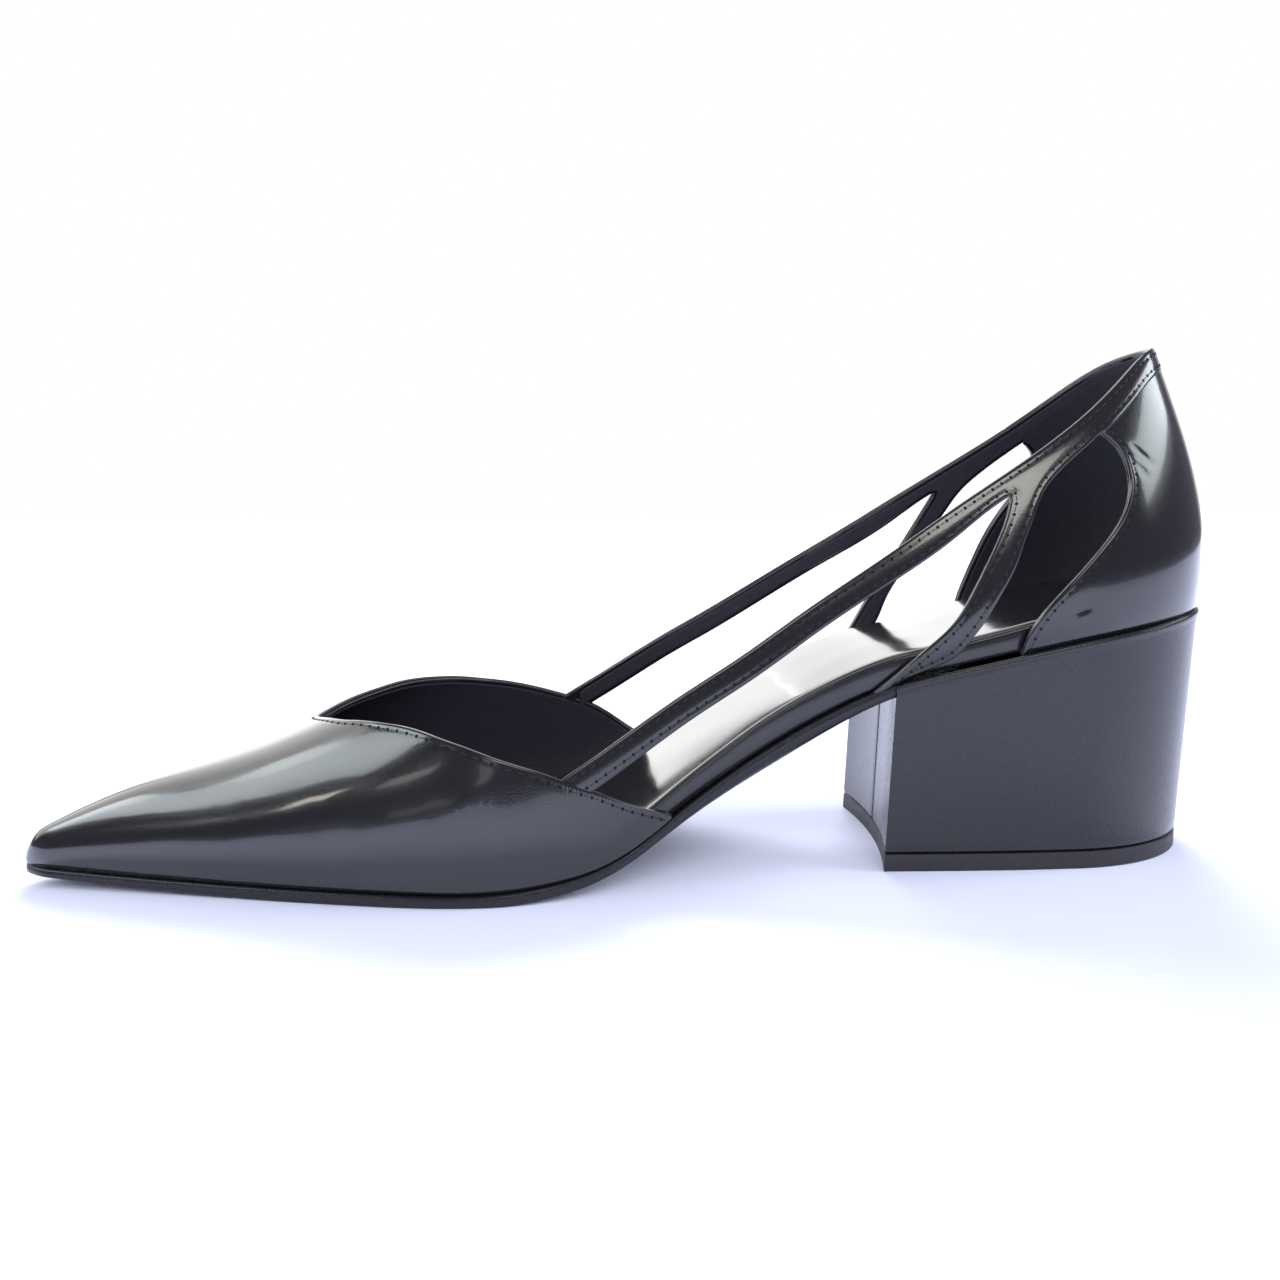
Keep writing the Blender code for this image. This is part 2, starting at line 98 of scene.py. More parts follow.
# Insole, heel and lift
INSOLE_FRONT = 6.0
INSOLE_BACK = 252.4
INSOLE_INSET = 3.2
INSOLE_TOE_ROUND = 8.0
INSOLE_HEEL_ROUND = 29.5
WRAP_EDGE = 0.8
WRAP_FOOT = 0.3
WRAP_BULGE = 0.14
SOCK_INSET = 0.6
SOCK_THICK = 0.45
SOCK_ROLL = 0.9
SOCK_FALL = 0.3
SOCK_FOOT = 0.1
LIFT_HEIGHT = 3.7
HEEL_BACK_TOP = 254.6
HEEL_BACK_FLOOR = 251.4
HEEL_SIDE_INSET = 0.2
BREAST_MEDIAL = 177.7
BREAST_LATERAL = 182.6
BREAST_HALF_SPAN = 27.0
BREAST_HOLLOW = 2.4
BREAST_LEAN = 2.2
BREAST_STATION = 180.0
SEAM_SIDE = 2.0
SEAM_DEPTH = 0.35
SEAM_STEPS = (0.6, 0.25, 0.0, -0.25, -0.6)
SEAM_SHOULDER = 0.23

# Rounded edges of the heel's foot and of the lift: height from the edge and growth of the plan
HEEL_FOOT = ((0.0, -0.7), (0.08, -0.3), (0.4, 0.0))
LIFT_EDGE = ((0.0, -0.35), (0.1, -0.1), (0.35, 0.0))

# Bead round the heel's top, then the closed top face: drop below the sole and growth of the plan
HEEL_BEAD = (
    (2.4, 0.0), (2.0, 0.03), (1.7, 0.12), (1.3, 0.27), (0.9, 0.32), (0.5, 0.27), (0.2, 0.1), (0.05, -0.15),
    (0.05, -0.4), (0.25, -0.6), (0.7, -0.7), (1.1, -0.8),
    (1.2, -1.4), (1.2, -5.0), (1.2, -11.0), (1.2, -19.0),
)

# Fineness of the meshes, and the angle from which an edge between faces shows as sharp
EDGE_STEP = 0.8
CELL = 1.0
SECTION_STEP = 2.0
FOLD_ROWS = (0.3, 0.6, 0.9, 1.2, 1.5, 2.0, 2.7)
CREASE_ROWS = (-2.0, -1.4, -0.9, -0.45, 0.0, 0.45, 0.9, 1.4, 2.0)
DERIVATIVE = 0.02
SHARP_ANGLE = 50.0

# Points nearer to an edge or a crease than this are left out: shares of a distance, and a distance
CLEAR_SHARE = 0.9
CREASE_CLEAR = 0.8
FOLD_CLEAR = 0.4

# A folded edge shows two rounds, the leather and its backing: depth and radius as shares of the thickness
RIM_ROUNDS = ((0.3, 0.3), (0.8, 0.2))
RIM_VALLEY = (0.06, 0.6)
RIM_TURNS = (36.0, 72.0, 108.0, 144.0)

MEDIAL = -1
LATERAL = 1
SIDE_NAMES = {MEDIAL: "medial", LATERAL: "lateral"}


def table(names, *rows):
    """A short table as a dictionary of its columns."""
    return dict(zip(names.split(), np.array(rows, float).T))


# Plan of the sole: the centre line swings to the medial side at the toe
OUTLINE = table(
    "station centre half_width",
    (0, -14.0, 3.2),
    (20, -11.0, 11.5),
    (40, -8.0, 20.0),
    (60, -5.8, 27.8),
    (80, -4.1, 34.6),
    (95, -2.4, 38.0),
    (112, 0.1, 37.9),
    (130, 2.0, 34.2),
    (150, 2.5, 29.8),
    (168, 1.7, 27.5),
    (185, 0.6, 27.4),
    (212, 0.0, 28.4),
    (235, 0.0, 28.4),
    (255, 0.0, 28.4),
)

# Height of the top of the sole, which the upper and the insole stand on
PROFILE = table(
    "station sole_top",
    (0, 4.2),
    (20, 3.3),
    (40, 2.7),
    (60, 2.4),
    (80, 2.3),
    (98, 2.4),
    (110, 3.6),
    (118, 5.4),
    (126, 9.2),
    (134, 14.6),
    (143, 20.4),
    (151, 25.2),
    (168, 34.2),
    (180, 39.3),
    (192, 42.4),
    (217, 47.7),
    (250, 53.4),
)

# Thickness of the outsole and of the wrapped insole, and how far the outsole draws in at the waist
LAYERS = table(
    "station outsole insole outsole_inset",
    (0, 1.6, 3.0, 0.0),
    (40, 2.3, 3.4, 0.0),
    (90, 2.5, 3.8, 0.0),
    (110, 2.4, 4.4, 0.2),
    (128, 2.3, 5.0, 0.8),
    (138, 2.9, 5.3, 1.0),
    (147, 4.0, 5.8, 1.2),
    (156, 4.6, 6.2, 1.2),
    (166, 3.8, 6.1, 1.1),
    (176, 2.8, 5.8, 1.0),
    (195, 2.4, 5.2, 0.8),
    (210, 2.3, 5.8, 0.8),
    (255, 2.3, 6.2, 0.8),
)

# The last over the sole: crest height, fullness of the section, side swell and the height of that swell
LAST = table(
    "station crest fullness swell swell_height",
    (0, 9.8, 2.2, 1.4, 6.0),
    (7, 13.2, 2.35, 1.4, 6.4),
    (22, 19.6, 2.65, 1.4, 7.2),
    (34, 23.2, 2.8, 1.5, 8.0),
    (51, 28.9, 2.95, 1.6, 8.8),
    (59, 32.4, 3.0, 1.7, 9.2),
    (75, 40.5, 3.0, 1.8, 10.0),
    (95, 53.0, 3.0, 1.8, 10.8),
    (120, 70.0, 2.8, 1.7, 11.2),
    (150, 90.0, 2.3, 1.6, 11.6),
    (180, 105.0, 2.1, 1.8, 12.0),
    (205, 113.0, 2.0, 2.0, 13.0),
    (230, 118.0, 1.9, 2.1, 14.0),
    (255, 123.0, 1.9, 2.2, 15.0),
)

# Back of the counter: how far it stands in front of LENGTH at a height above the seat
BACK = table(
    "height forward",
    (0, 0.4),
    (8, 0.1),
    (15, 0.0),
    (24, 1.1),
    (34, 3.4),
    (44, 6.5),
    (54, 9.9),
    (62, 12.6),
    (80, 18.0),
)

# Edge of the vamp behind the throat: height on the medial side and how much higher the lateral side is
VAMP_EDGE = table(
    "station height rise",
    (58.9, 32.4, 0.0),
    (67, 34.4, 0.8),
    (75, 34.8, 1.8),
    (79, 34.6, 2.0),
    (83.4, 33.9, 2.35),
    (87.4, 32.7, 3.0),
    (91.3, 31.5, 3.4),
    (98.9, 28.7, 4.6),
    (106.5, 26.0, 5.2),
    (114.1, 22.7, 6.1),
    (119, 20.7, 6.3),
    (124, 18.3, 5.8),
    (129, 16.3, 4.3),
    (133.6, 14.4, 3.4),
    (142, 10.4, 3.0),
)

# Plan of the throat: the side coordinate of the vamp's edge on both sides
THROAT_PLAN = table(
    "station medial lateral",
    (58.9, -5.9, -5.9),
    (60.2, -10.0, -3.2),
    (62, -14.2, 0.2),
    (64.5, -18.4, 4.4),
    (67.2, -21.8, 8.6),
    (70, -24.3, 11.8),
    (74, -27.5, 15.6),
    (78.2, -30.4, 19.7),
    (84, -33.6, 24.6),
)

# Upper edge of the medial topline strap and the strap's width, from the vamp to the collar at the back
STRAP = table(
    "station height width",
    (100, 17.8, 5.5),
    (106, 21.4, 5.5),
    (112, 25.1, 5.5),
    (118, 28.7, 5.5),
    (135, 39.1, 5.4),
    (147, 46.0, 5.3),
    (160, 54.5, 5.2),
    (177, 65.6, 5.1),
    (193, 76.4, 5.0),
    (202, 82.15, 4.2),
    (210, 87.3, 5.1),
    (222, 95.9, 5.4),
    (231, 103.2, 5.4),
    (238, 108.2, 5.4),
    (246, 111.0, 5.4),
    (262, 111.5, 5.4),
)

# How much higher the topline strap lies on the lateral side
STRAP_RISE = table(
    "station lateral",
    (100, 3.7),
    (132, 3.7),
    (142, 4.0),
    (151, 3.9),
    (161, 3.5),
    (171, 3.1),
    (180, 2.5),
    (190, 1.8),
    (200, 1.4),
    (209, 1.1),
    (218, 0.6),
    (227, 0.1),
    (234, 0.0),
    (242, 0.0),
    (262, 0.0),
)

# Stations of the branch strap's front edge, from the sole up to the crotch under the topline strap
BRANCH_EDGE = table(
    "height medial lateral",
    (32, 168.5, 169.0),
    (38.3, 176.5, 177.6),
    (45.8, 184.4, 183.6),
    (51, 189.9, 186.6),
    (58.3, 194.7, 191.0),
    (66, 198.8, 195.6),
    (72.3, 201.8, 199.2),
    (78.4, 203.6, 202.6),
    (84, 204.4, 205.4),
)

# Stations of the teardrop's edges between the branch strap and the counter
TEARDROP = table(
    "height medial_front medial_rear lateral_front lateral_rear",
    (36, 175.2, 205.6, 175.6, 209.4),
    (41, 183.0, 205.8, 184.6, 209.4),
    (44.5, 190.7, 206.0, 188.6, 209.5),
    (47.8, 194.1, 206.5, 190.9, 209.8),
    (52, 197.2, 208.2, 192.6, 210.6),
    (57, 200.2, 212.0, 195.2, 212.4),
    (63, 203.6, 217.6, 199.0, 214.8),
    (69.5, 206.2, 223.4, 203.3, 217.6),
    (74, 208.2, 226.8, 206.3, 220.1),
    (79.6, 211.0, 229.0, 210.0, 223.8),
    (84.8, 216.2, 228.7, 215.6, 226.3),
    (88.6, 220.9, 226.6, 220.6, 226.4),
    (91, 223.8, 223.8, 224.0, 224.0),
)

# Soft ridges and troughs of the vamp's medial side, as lines in side view
VAMP_CREASES = table(
    "start_station start_level end_station end_level height width",
    (20, 10.4, 48, 15.2, 0.07, 1.6),
    (45, 15.4, 70, 19.4, 0.12, 2.4),
    (62, 18.8, 94, 27.2, 0.10, 2.8),
    (70, 14.6, 94, 21.4, 0.12, 2.8),
    (43, 12.4, 62, 14.5, 0.08, 2.4),
    (88, 18.9, 100, 26.6, 0.16, 2.4),
)

# Wrinkles and a shallow dent of the counter's medial side
COUNTER_CREASES = table(
    "start_station start_level end_station end_level height width",
    (229.4, 88.7, 235.8, 83.8, -0.18, 0.9),
    (230.2, 85.0, 234.0, 81.2, -0.10, 0.9),
    (214.6, 53.6, 221.4, 56.2, -0.46, 1.3),
)


def spline(xs, ys):
    """Natural cubic spline through the points, level with its end values outside them."""
    count = len(xs)
    steps = np.diff(xs)
    slopes = np.diff(ys) / steps
    system = np.eye(count)
    right = np.zeros(count)
    for i in range(1, count - 1):
        system[i, i - 1:i + 2] = steps[i - 1], 2 * (steps[i - 1] + steps[i]), steps[i]
        right[i] = 6 * (slopes[i] - slopes[i - 1])
    bend = np.linalg.solve(system, right)

    def value(x):
        x = np.clip(x, xs[0], xs[-1])
        i = np.clip(np.searchsorted(xs, x) - 1, 0, count - 2)
        before = x - xs[i]
        after = xs[i + 1] - x
        cubic = (bend[i] * after ** 3 + bend[i + 1] * before ** 3) / (6 * steps[i])
        start = (ys[i] / steps[i] - bend[i] * steps[i] / 6) * after
        end = (ys[i + 1] / steps[i] - bend[i + 1] * steps[i] / 6) * before
        return cubic + start + end

    return value


def curve(source, name, along="station"):
    return spline(source[along], source[name])


def both_sides(source, ending="", along="station"):
    return {side: curve(source, name + ending, along) for side, name in SIDE_NAMES.items()}


centre = curve(OUTLINE, "centre")
plain_half = curve(OUTLINE, "half_width")
sole_top = curve(PROFILE, "sole_top")
outsole_thickness = curve(LAYERS, "outsole")
insole_thickness = curve(LAYERS, "insole")
outsole_inset = curve(LAYERS, "outsole_inset")
crest = curve(LAST, "crest")
fullness = curve(LAST, "fullness")
swell = curve(LAST, "swell")
swell_height = curve(LAST, "swell_height")
back_forward = curve(BACK, "forward", "height")
medial_vamp_edge = curve(VAMP_EDGE, "height")
vamp_rise = curve(VAMP_EDGE, "rise")
throat_side = both_sides(THROAT_PLAN)
medial_strap_top = curve(STRAP, "height")
strap_width = curve(STRAP, "width")
strap_rise = curve(STRAP_RISE, "lateral")
branch_edge = both_sides(BRANCH_EDGE, along="height")
tear_front = both_sides(TEARDROP, "_front", "height")
tear_rear = both_sides(TEARDROP, "_rear", "height")


def vamp_edge(station, side):
    return medial_vamp_edge(station) + (vamp_rise(station) if side == LATERAL else 0.0)


def strap_top(station, side):
    return medial_strap_top(station) + (strap_rise(station) if side == LATERAL else 0.0)


def strap_low(station, side):
    slope = strap_top(station + 0.5, side) - strap_top(station - 0.5, side)
    return strap_top(station, side) - strap_width(station) * np.sqrt(1.0 + slope * slope)


def round_end(share):
    """Quarter ellipse from 0 at an end to 1 where the full width starts."""
    share = np.clip(share, 0.0, 1.0)
    return np.sqrt(share * (2.0 - share))


def ease(start, end, x):
    share = np.clip((x - start) / (end - start), 0.0, 1.0)
    return share * share * (3.0 - 2.0 * share)


def ends(station, front=0.0, back=LENGTH, toe=TOE_ROUND, heel=HEEL_ROUND):
    return round_end((station - front) / toe) * round_end((back - station) / heel)


def unit(vectors):
    return vectors / np.maximum(np.linalg.norm(vectors, axis=-1, keepdims=True), 1e-9)


def run_along(points):
    """Length of the way from a line's first point to each of its points."""
    return np.concatenate([[0.0], np.cumsum(np.linalg.norm(np.diff(points, axis=0), axis=1))])


def line_at(places, run, flat):
    """Points of a flat line at places along its run."""
    return np.stack([np.interp(places, run, flat[:, k]) for k in (0, 1)], axis=-1)


# The wall of the last

def feather(station):
    return sole_top(station) + GAP


def dome(station):
    """Height of the section's crest over the feather line."""
    return np.maximum((crest(station) - feather(station)) * round_end(station / NOSE_ROUND), 1e-6)


def half_width(station, height, width_share):
    above = height / swell_height(station)
    bulge = swell(station) * above * np.exp(1.0 - above)
    return (np.maximum(plain_half(station) - TUCK, 0.0) + bulge) * width_share * ends(station)


def lean(station, height):
    return back_forward(np.maximum(height, 0.0)) * ease(LEAN_START, LENGTH, station)


def on_side(station, level, side):
    """Point of the upper's outer face at a level above the floor on one side."""
    height = level - feather(station)
    power = fullness(station)
    share = np.clip(height / dome(station), 0.0, 1.0)
    width_share = (1.0 - share ** power) ** (1.0 / power)
    half = half_width(station, height, width_share)
    return np.stack([station - lean(station, height), centre(station) + side * half, level], axis=-1)


def over_top(station, turn):
    """Point of the outer face; turn is -1 at the medial feather line, 0 at the crest, 1 at the lateral."""
    angle = (1.0 - np.abs(turn)) * math.pi / 2
    power = 2.0 / fullness(station)
    height = dome(station) * np.sin(angle) ** power
    half = half_width(station, height, np.maximum(np.cos(angle), 0.0) ** power)
    sideways = centre(station) + np.sign(turn) * half
    return np.stack([station - lean(station, height), sideways, feather(station) + height], axis=-1)


def station_at(x, level):
    """Station of the outer face's point at a place along the shoe and a level."""
    station = np.array(x, float)
    for _ in range(30):
        station = np.minimum(x + lean(station, level - feather(station)), LENGTH)
    return station


# Flat coordinates

WRAP_LEVEL = 22.0
WRAP_START = 95.0
HEEL_START = LENGTH - HEEL_ROUND


def station_of(share):
    """Station from a share: 0 to 1 along the side, then 1 to 2 round the heel in equal turns."""
    side = WRAP_START + np.minimum(share, 1.0) * (HEEL_START - WRAP_START)
    return side + HEEL_ROUND * np.sin(np.clip(share - 1.0, 0.0, 1.0) * math.pi / 2)


def share_of(station):
    round_part = np.clip((station - HEEL_START) / HEEL_ROUND, 0.0, 1.0)
    side_part = np.clip((station - WRAP_START) / (HEEL_START - WRAP_START), 0.0, 1.0)
    return side_part + np.arcsin(round_part) * 2 / math.pi


wrap_shares = np.linspace(0.0, 2.0, 800)
wrap_path = on_side(station_of(wrap_shares), feather(station_of(wrap_shares)) + WRAP_LEVEL, 1.0)
wrap_run = run_along(wrap_path)
from_back = wrap_run[-1] - wrap_run


def wrap_of(station, side):
    """Flat coordinate round the back: 0 at the back's middle, negative on the medial side."""
    return side * np.interp(share_of(station), wrap_shares, from_back)


def station_round(wrap):
    return station_of(np.interp(np.abs(wrap), from_back[::-1], wrap_shares[::-1]))


def round_back(flat):
    """Wall of the straps and the counter: flat coordinates are the way round the back and the level."""
    return on_side(station_round(flat[:, 0]), flat[:, 1], np.sign(flat[:, 0]))


VAMP_GIRTH = 46.0
TOE_WAY = TOE_ROUND * math.pi / 2


def way_of(station):
    """Flat coordinate along the vamp: close stations at the rounded toe lie a whole step apart."""
    near = np.clip(1.0 - station / TOE_ROUND, 0.0, 1.0)
    return np.where(station < TOE_ROUND, TOE_ROUND * np.arccos(near), station - TOE_ROUND + TOE_WAY)


def over_vamp(flat):
    """Wall of the vamp: flat coordinates are the way from the toe and the way across the crest."""
    way = np.maximum(flat[:, 0], 0.0)
    near = TOE_ROUND * (1.0 - np.cos(np.minimum(way / TOE_ROUND, math.pi / 2)))
    station = np.where(way < TOE_WAY, near, way - TOE_WAY + TOE_ROUND)
    return over_top(station, np.clip(flat[:, 1] / VAMP_GIRTH, -1.0, 1.0))


def slopes(surface, flat):
    """Change of the wall's point with each flat coordinate."""
    along = np.array([DERIVATIVE, 0.0])
    across = np.array([0.0, DERIVATIVE])
    du = (surface(flat + along) - surface(flat - along)) / (2 * DERIVATIVE)
    dv = (surface(flat + across) - surface(flat - across)) / (2 * DERIVATIVE)
    return du, dv


def normals(surface, flat):
    du, dv = slopes(surface, flat)
    return unit(np.cross(du, dv))


def slide(surface, flat, move):
    """Flat coordinates after a small move along the wall."""
    du, dv = slopes(surface, flat)
    uu = (du * du).sum(1)
    uv = (du * dv).sum(1)
    vv = (dv * dv).sum(1)
    mu = (du * move).sum(1)
    mv = (dv * move).sum(1)
    area = np.maximum(uu * vv - uv * uv, 1e-9)
    return flat + np.stack([(mu * vv - mv * uv) / area, (mv * uu - mu * uv) / area], axis=-1)


def resample(surface, flat, step):
    """Points along a line on the wall, a step apart."""
    run = run_along(surface(flat))
    places = np.linspace(0.0, run[-1], max(int(round(run[-1] / step)), 1) + 1)
    return line_at(places, run, flat)


def tree_of(targets):
    tree = KDTree(len(targets))
    for i, target in enumerate(targets):
        tree.insert(target, i)
    tree.balance()
    return tree


def nearest(points, targets):
    tree = tree_of(targets)
    return np.array([tree.find(point)[2] for point in points])


def along_line(points, line):
    """Distance of each point from a line, and the share of the line's length beside which it lies."""
    tree = tree_of(line)
    found = [tree.find(point) for point in points]
    return np.array([hit[2] for hit in found]), np.array([hit[1] for hit in found]) / (len(line) - 1)


def inside(points, loop):
    """Which flat points lie inside the closed loop."""
    result = np.zeros(len(points), bool)
    x, y = points[:, 0], points[:, 1]
    for (x0, y0), (x1, y1) in zip(loop, np.roll(loop, -1, axis=0)):
        crosses = (y0 > y) != (y1 > y)
        result ^= crosses & (x < (x1 - x0) * (y - y0) / (y1 - y0 + 1e-12) + x0)
    return result


def loop_of(surface, edges):
    """One closed loop from the panel's edges, and whether each point is on a folded edge."""
    flat = []
    folded = []
    for line, is_folded in edges:
        line = resample(surface, line, EDGE_STEP)[:-1]
        flat.append(line)
        folded.append(np.full(len(line), is_folded))
    return np.concatenate(flat), np.concatenate(folded)


def inward_of(surface, flat):
    points = surface(flat)
    along = unit(np.roll(points, -1, axis=0) - np.roll(points, 1, axis=0))
    return np.cross(normals(surface, flat), along)


def inset_loop(surface, flat, folded, distance):
    """The loop moved in from its folded edges; points that come too near another edge are left out."""
    moved = slide(surface, flat, inward_of(surface, flat) * (distance * folded)[:, None])
    keep = nearest(surface(moved), surface(flat[folded])) > CLEAR_SHARE * distance
    return moved[keep], folded[keep]


# Making pieces

heel_low, heel_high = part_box("heel_block")
upper_low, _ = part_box("upper")
TO_WORLD = np.array([upper_low.x / MM, (heel_low.y + heel_high.y) / (2 * MM), 0.0])


def new_object(name, data):
    made = bpy.data.objects.new(name, data)
    bpy.context.scene.collection.objects.link(made)
    return made


def piece(name, points, faces, material, slot, *nodes):
    """A smooth mesh from points of the shoe's frame, riding on the shoe and standing for the nodes."""
    mesh = bpy.data.meshes.new(name)
    mesh.from_pydata(((np.asarray(points) + TO_WORLD) * MM).tolist(), [], faces)
    bm = bmesh.new()
    bm.from_mesh(mesh)
    bmesh.ops.remove_doubles(bm, verts=bm.verts, dist=MERGE)
    bmesh.ops.dissolve_degenerate(bm, edges=bm.edges, dist=MERGE)
    bmesh.ops.recalc_face_normals(bm, faces=bm.faces)
    bm.to_mesh(mesh)
    bm.free()
    mesh.shade_smooth()
    mesh.set_sharp_from_angle(angle=math.radians(SHARP_ANGLE))
    mesh.materials.append(material)
    made = new_object(name, mesh)
    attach(made, "root")
    if nodes:
        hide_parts(*nodes)


def rim_profile():
    """Steps over a folded edge, outer to inner face: way out and depth as shares of the thickness."""
    rounds = []
    for depth, radius in RIM_ROUNDS:
        turns = [math.radians(turn) for turn in RIM_TURNS]
        rounds.append([(radius * math.sin(turn), depth - radius * math.cos(turn)) for turn in turns])
    return rounds[0] + [RIM_VALLEY] + rounds[1]


def crease_rows(surface, line, width):
    """Flat points on both sides of a crease, close enough together to carry its shape."""
    line = resample(surface, line, width)
    along = unit(np.gradient(surface(line), axis=0))
    across = np.cross(normals(surface, line), along)
    return np.concatenate([slide(surface, line, across * (row * width)) for row in CREASE_ROWS])


def stand_of(lift, flat):
    """How far the outer face stands off the wall at flat points; lift is a number or a function."""
    return lift(flat) if callable(lift) else np.full(len(flat), lift)


def panel(name, surface, edges, lift, thick, material, slot, *nodes,
          inset=0.0, groove=GROOVE_DEPTH, pillow=0.0, creases=()):
    """A sheet of leather cut to the edges and bent over the wall, with folds, a groove and creases."""
    flat, folded = loop_of(surface, edges)
    radius = thick * RIM_ROUNDS[0][1]
    loop, folded = inset_loop(surface, flat, folded, radius + inset)
    loop_points = surface(loop)
    inward = inward_of(surface, loop)
    fold_points = loop_points[folded]
    rows = []
    for distance in FOLD_ROWS:
        row = slide(surface, loop[folded], inward[folded] * distance)
        row = row[inside(row, loop)]
        rows.append(row[nearest(surface(row), loop_points) > CLEAR_SHARE * distance])
    spans = [np.arange(low, high, CELL) for low, high in zip(loop.min(axis=0), loop.max(axis=0))]
    grid = np.stack(np.meshgrid(*spans), axis=-1).reshape(-1, 2)
    for line, _, width in creases:
        fine = crease_rows(surface, line, width)
        grid = grid[nearest(surface(grid), surface(fine)) > CREASE_CLEAR * width]
        grid = np.concatenate([grid, fine])
    grid = grid[inside(grid, loop)]
    grid = grid[nearest(surface(grid), fold_points) > FOLD_ROWS[-1] + FOLD_CLEAR]
    grid = grid[nearest(surface(grid), loop_points) > CELL / 2]
    count = len(loop)
    given = np.concatenate([loop, *rows, grid])
    ring = [(i, (i + 1) % count) for i in range(count)]
    made = delaunay_2d_cdt([Vector(point) for point in given], ring, [list(range(count))], 1, 1e-5)
    flat = np.array([tuple(point) for point in made[0]])
    triangles = [list(face) for face in made[2]]
    place = {source: i for i, sources in enumerate(made[3]) for source in sources}
    rim = [place[i] for i in range(count)]

    points = surface(flat)
    normal = normals(surface, flat)
    from_edge = nearest(points, fold_points) + radius
    slack = np.clip(1.0 - (from_edge - radius) / PILLOW_WIDTH, 0.0, 1.0)
    height = -pillow * slack ** 2 - groove * np.exp(-((from_edge - STITCH_INSET) / GROOVE_WIDTH) ** 2)
    for line, crease_height, width in creases:
        away, share = along_line(points, surface(resample(surface, line, 0.1)))
        height += crease_height * np.exp(-(away / width) ** 2) * np.sin(math.pi * share)
    stand = stand_of(lift, flat)
    front = points + normal * (stand + height)[:, None]
    back = points + normal * (stand - thick)[:, None]
    profile = rim_profile()
    strips = []
    for out, depth in profile:
        fall = (stand + height * (1.0 - depth))[rim] - depth * thick
        strips.append(points[rim] + normal[rim] * fall[:, None] - inward * (out * thick * folded)[:, None])
    total = len(flat)
    rings = [rim]
    rings += [[total + k * count + i for i in range(count)] for k in range(len(profile))]
    shift = total + len(profile) * count
    rings.append([shift + i for i in rim])
    faces = triangles + [[shift + i for i in reversed(face)] for face in triangles]
    for upper, lower in zip(rings, rings[1:]):
        for i in range(count):
            j = (i + 1) % count
            faces.append([upper[j], upper[i], lower[i], lower[j]])
    piece(name, np.concatenate([front, *strips, back]), faces, material, slot, *nodes)


def skin_faces(rings, first=0):
    """Faces of a closed skin over rings of equal count, with its two ends filled."""
    sides = len(rings[0])
    last = first + (len(rings) - 1) * sides
    faces = []
    for low in range(first, last, sides):
        for k in range(sides):
            j = (k + 1) % sides
            faces.append([low + k, low + j, low + sides + j, low + sides + k])
    faces.append([first + k for k in reversed(range(sides))])
    faces.append([last + k for k in range(sides)])
    return faces


class Parts:
    """Points and faces of many small closed bodies, each a stack of rings, for one joined mesh."""

    def __init__(self):
        self.points = []
        self.faces = []

    def add(self, rings):
        self.faces.extend(skin_faces(rings, len(self.points)))
        for ring in rings:
            self.points.extend(ring)


ROUND = [(math.cos(turn), math.sin(turn)) for turn in np.linspace(0.0, 2 * math.pi, 9)[:-1]]


def thread_rings(middle, normal, along, across):
    """One stitch: its middle lies on the leather and its ends dip into the needle holes."""
    rings = []
    for share in np.linspace(-0.5, 0.5, 7):
        slim = THREAD_RADIUS * (0.1 + 0.9 * math.sqrt(max(1.0 - (2 * abs(share)) ** 4, 0.0)))
        rise = THREAD_RADIUS * (0.2 - 8.0 * share * share)
        core = middle + along * share * STITCH_LENGTH + normal * rise
        rings.append([core + (across * c + normal * s) * slim for c, s in ROUND])
    return rings


def hole_rings(middle, normal, along, across):
    """One needle hole: a shallow cup at the leather's face, coloured near black as painted shade in the
    hole.
    """
    cup = ((0.6, -0.05), (1.0, 0.05), (0.85, 0.1), (0.4, 0.08))
    return [[middle + normal * rise + (along * c + across * s) * (HOLE_RADIUS * size) for c, s in ROUND]
            for size, rise in cup]


def stitch_rows(name, surface, edges, lift, thick, thread, hole_shade, slot, pillow=0.0):
    """Stitches and their needle holes, which carry painted shade, in the groove along the folded edges of
    a panel.
    """
    flat, folded = loop_of(surface, edges)
    slack = 1.0 - (STITCH_INSET - thick * RIM_ROUNDS[0][1]) / PILLOW_WIDTH
    sunk = GROOVE_DEPTH + pillow * slack ** 2
    threads = Parts()
    holes = Parts()
    starts = np.flatnonzero(folded & ~np.roll(folded, 1))
    for start in starts:
        order = (np.arange(len(flat)) + start) % len(flat)
        run = order[:np.argmax(~folded[order])]
        line = slide(surface, flat[run], inward_of(surface, flat)[run] * STITCH_INSET)
        line = line[nearest(surface(line), surface(flat[folded])) > CLEAR_SHARE * STITCH_INSET]
        line = resample(surface, line, STITCH_PITCH / 2)
        normal = normals(surface, line)
        middle = surface(line) + normal * (stand_of(lift, line) - sunk)[:, None]
        along = unit(np.gradient(middle, axis=0))
        across = np.cross(normal, along)
        for i, place in enumerate(zip(middle, normal, along, across)):
            if i % 2:
                threads.add(thread_rings(*place))
            else:
                holes.add(hole_rings(*place))
    piece(name + "_stitches", np.array(threads.points), threads.faces, thread, slot)
    piece(name + "_holes", np.array(holes.points), holes.faces, hole_shade, slot)


# Edges of the panels, in flat coordinates and counter-clockwise seen from outside

VAMP_TOE = 0.6
VAMP_REACH = 145.0
FOOT_LEVELS = (30.0, 70.0)
CROTCH_LEVELS = (60.0, 82.0)
TEAR_TOP = TEARDROP["height"][-1]


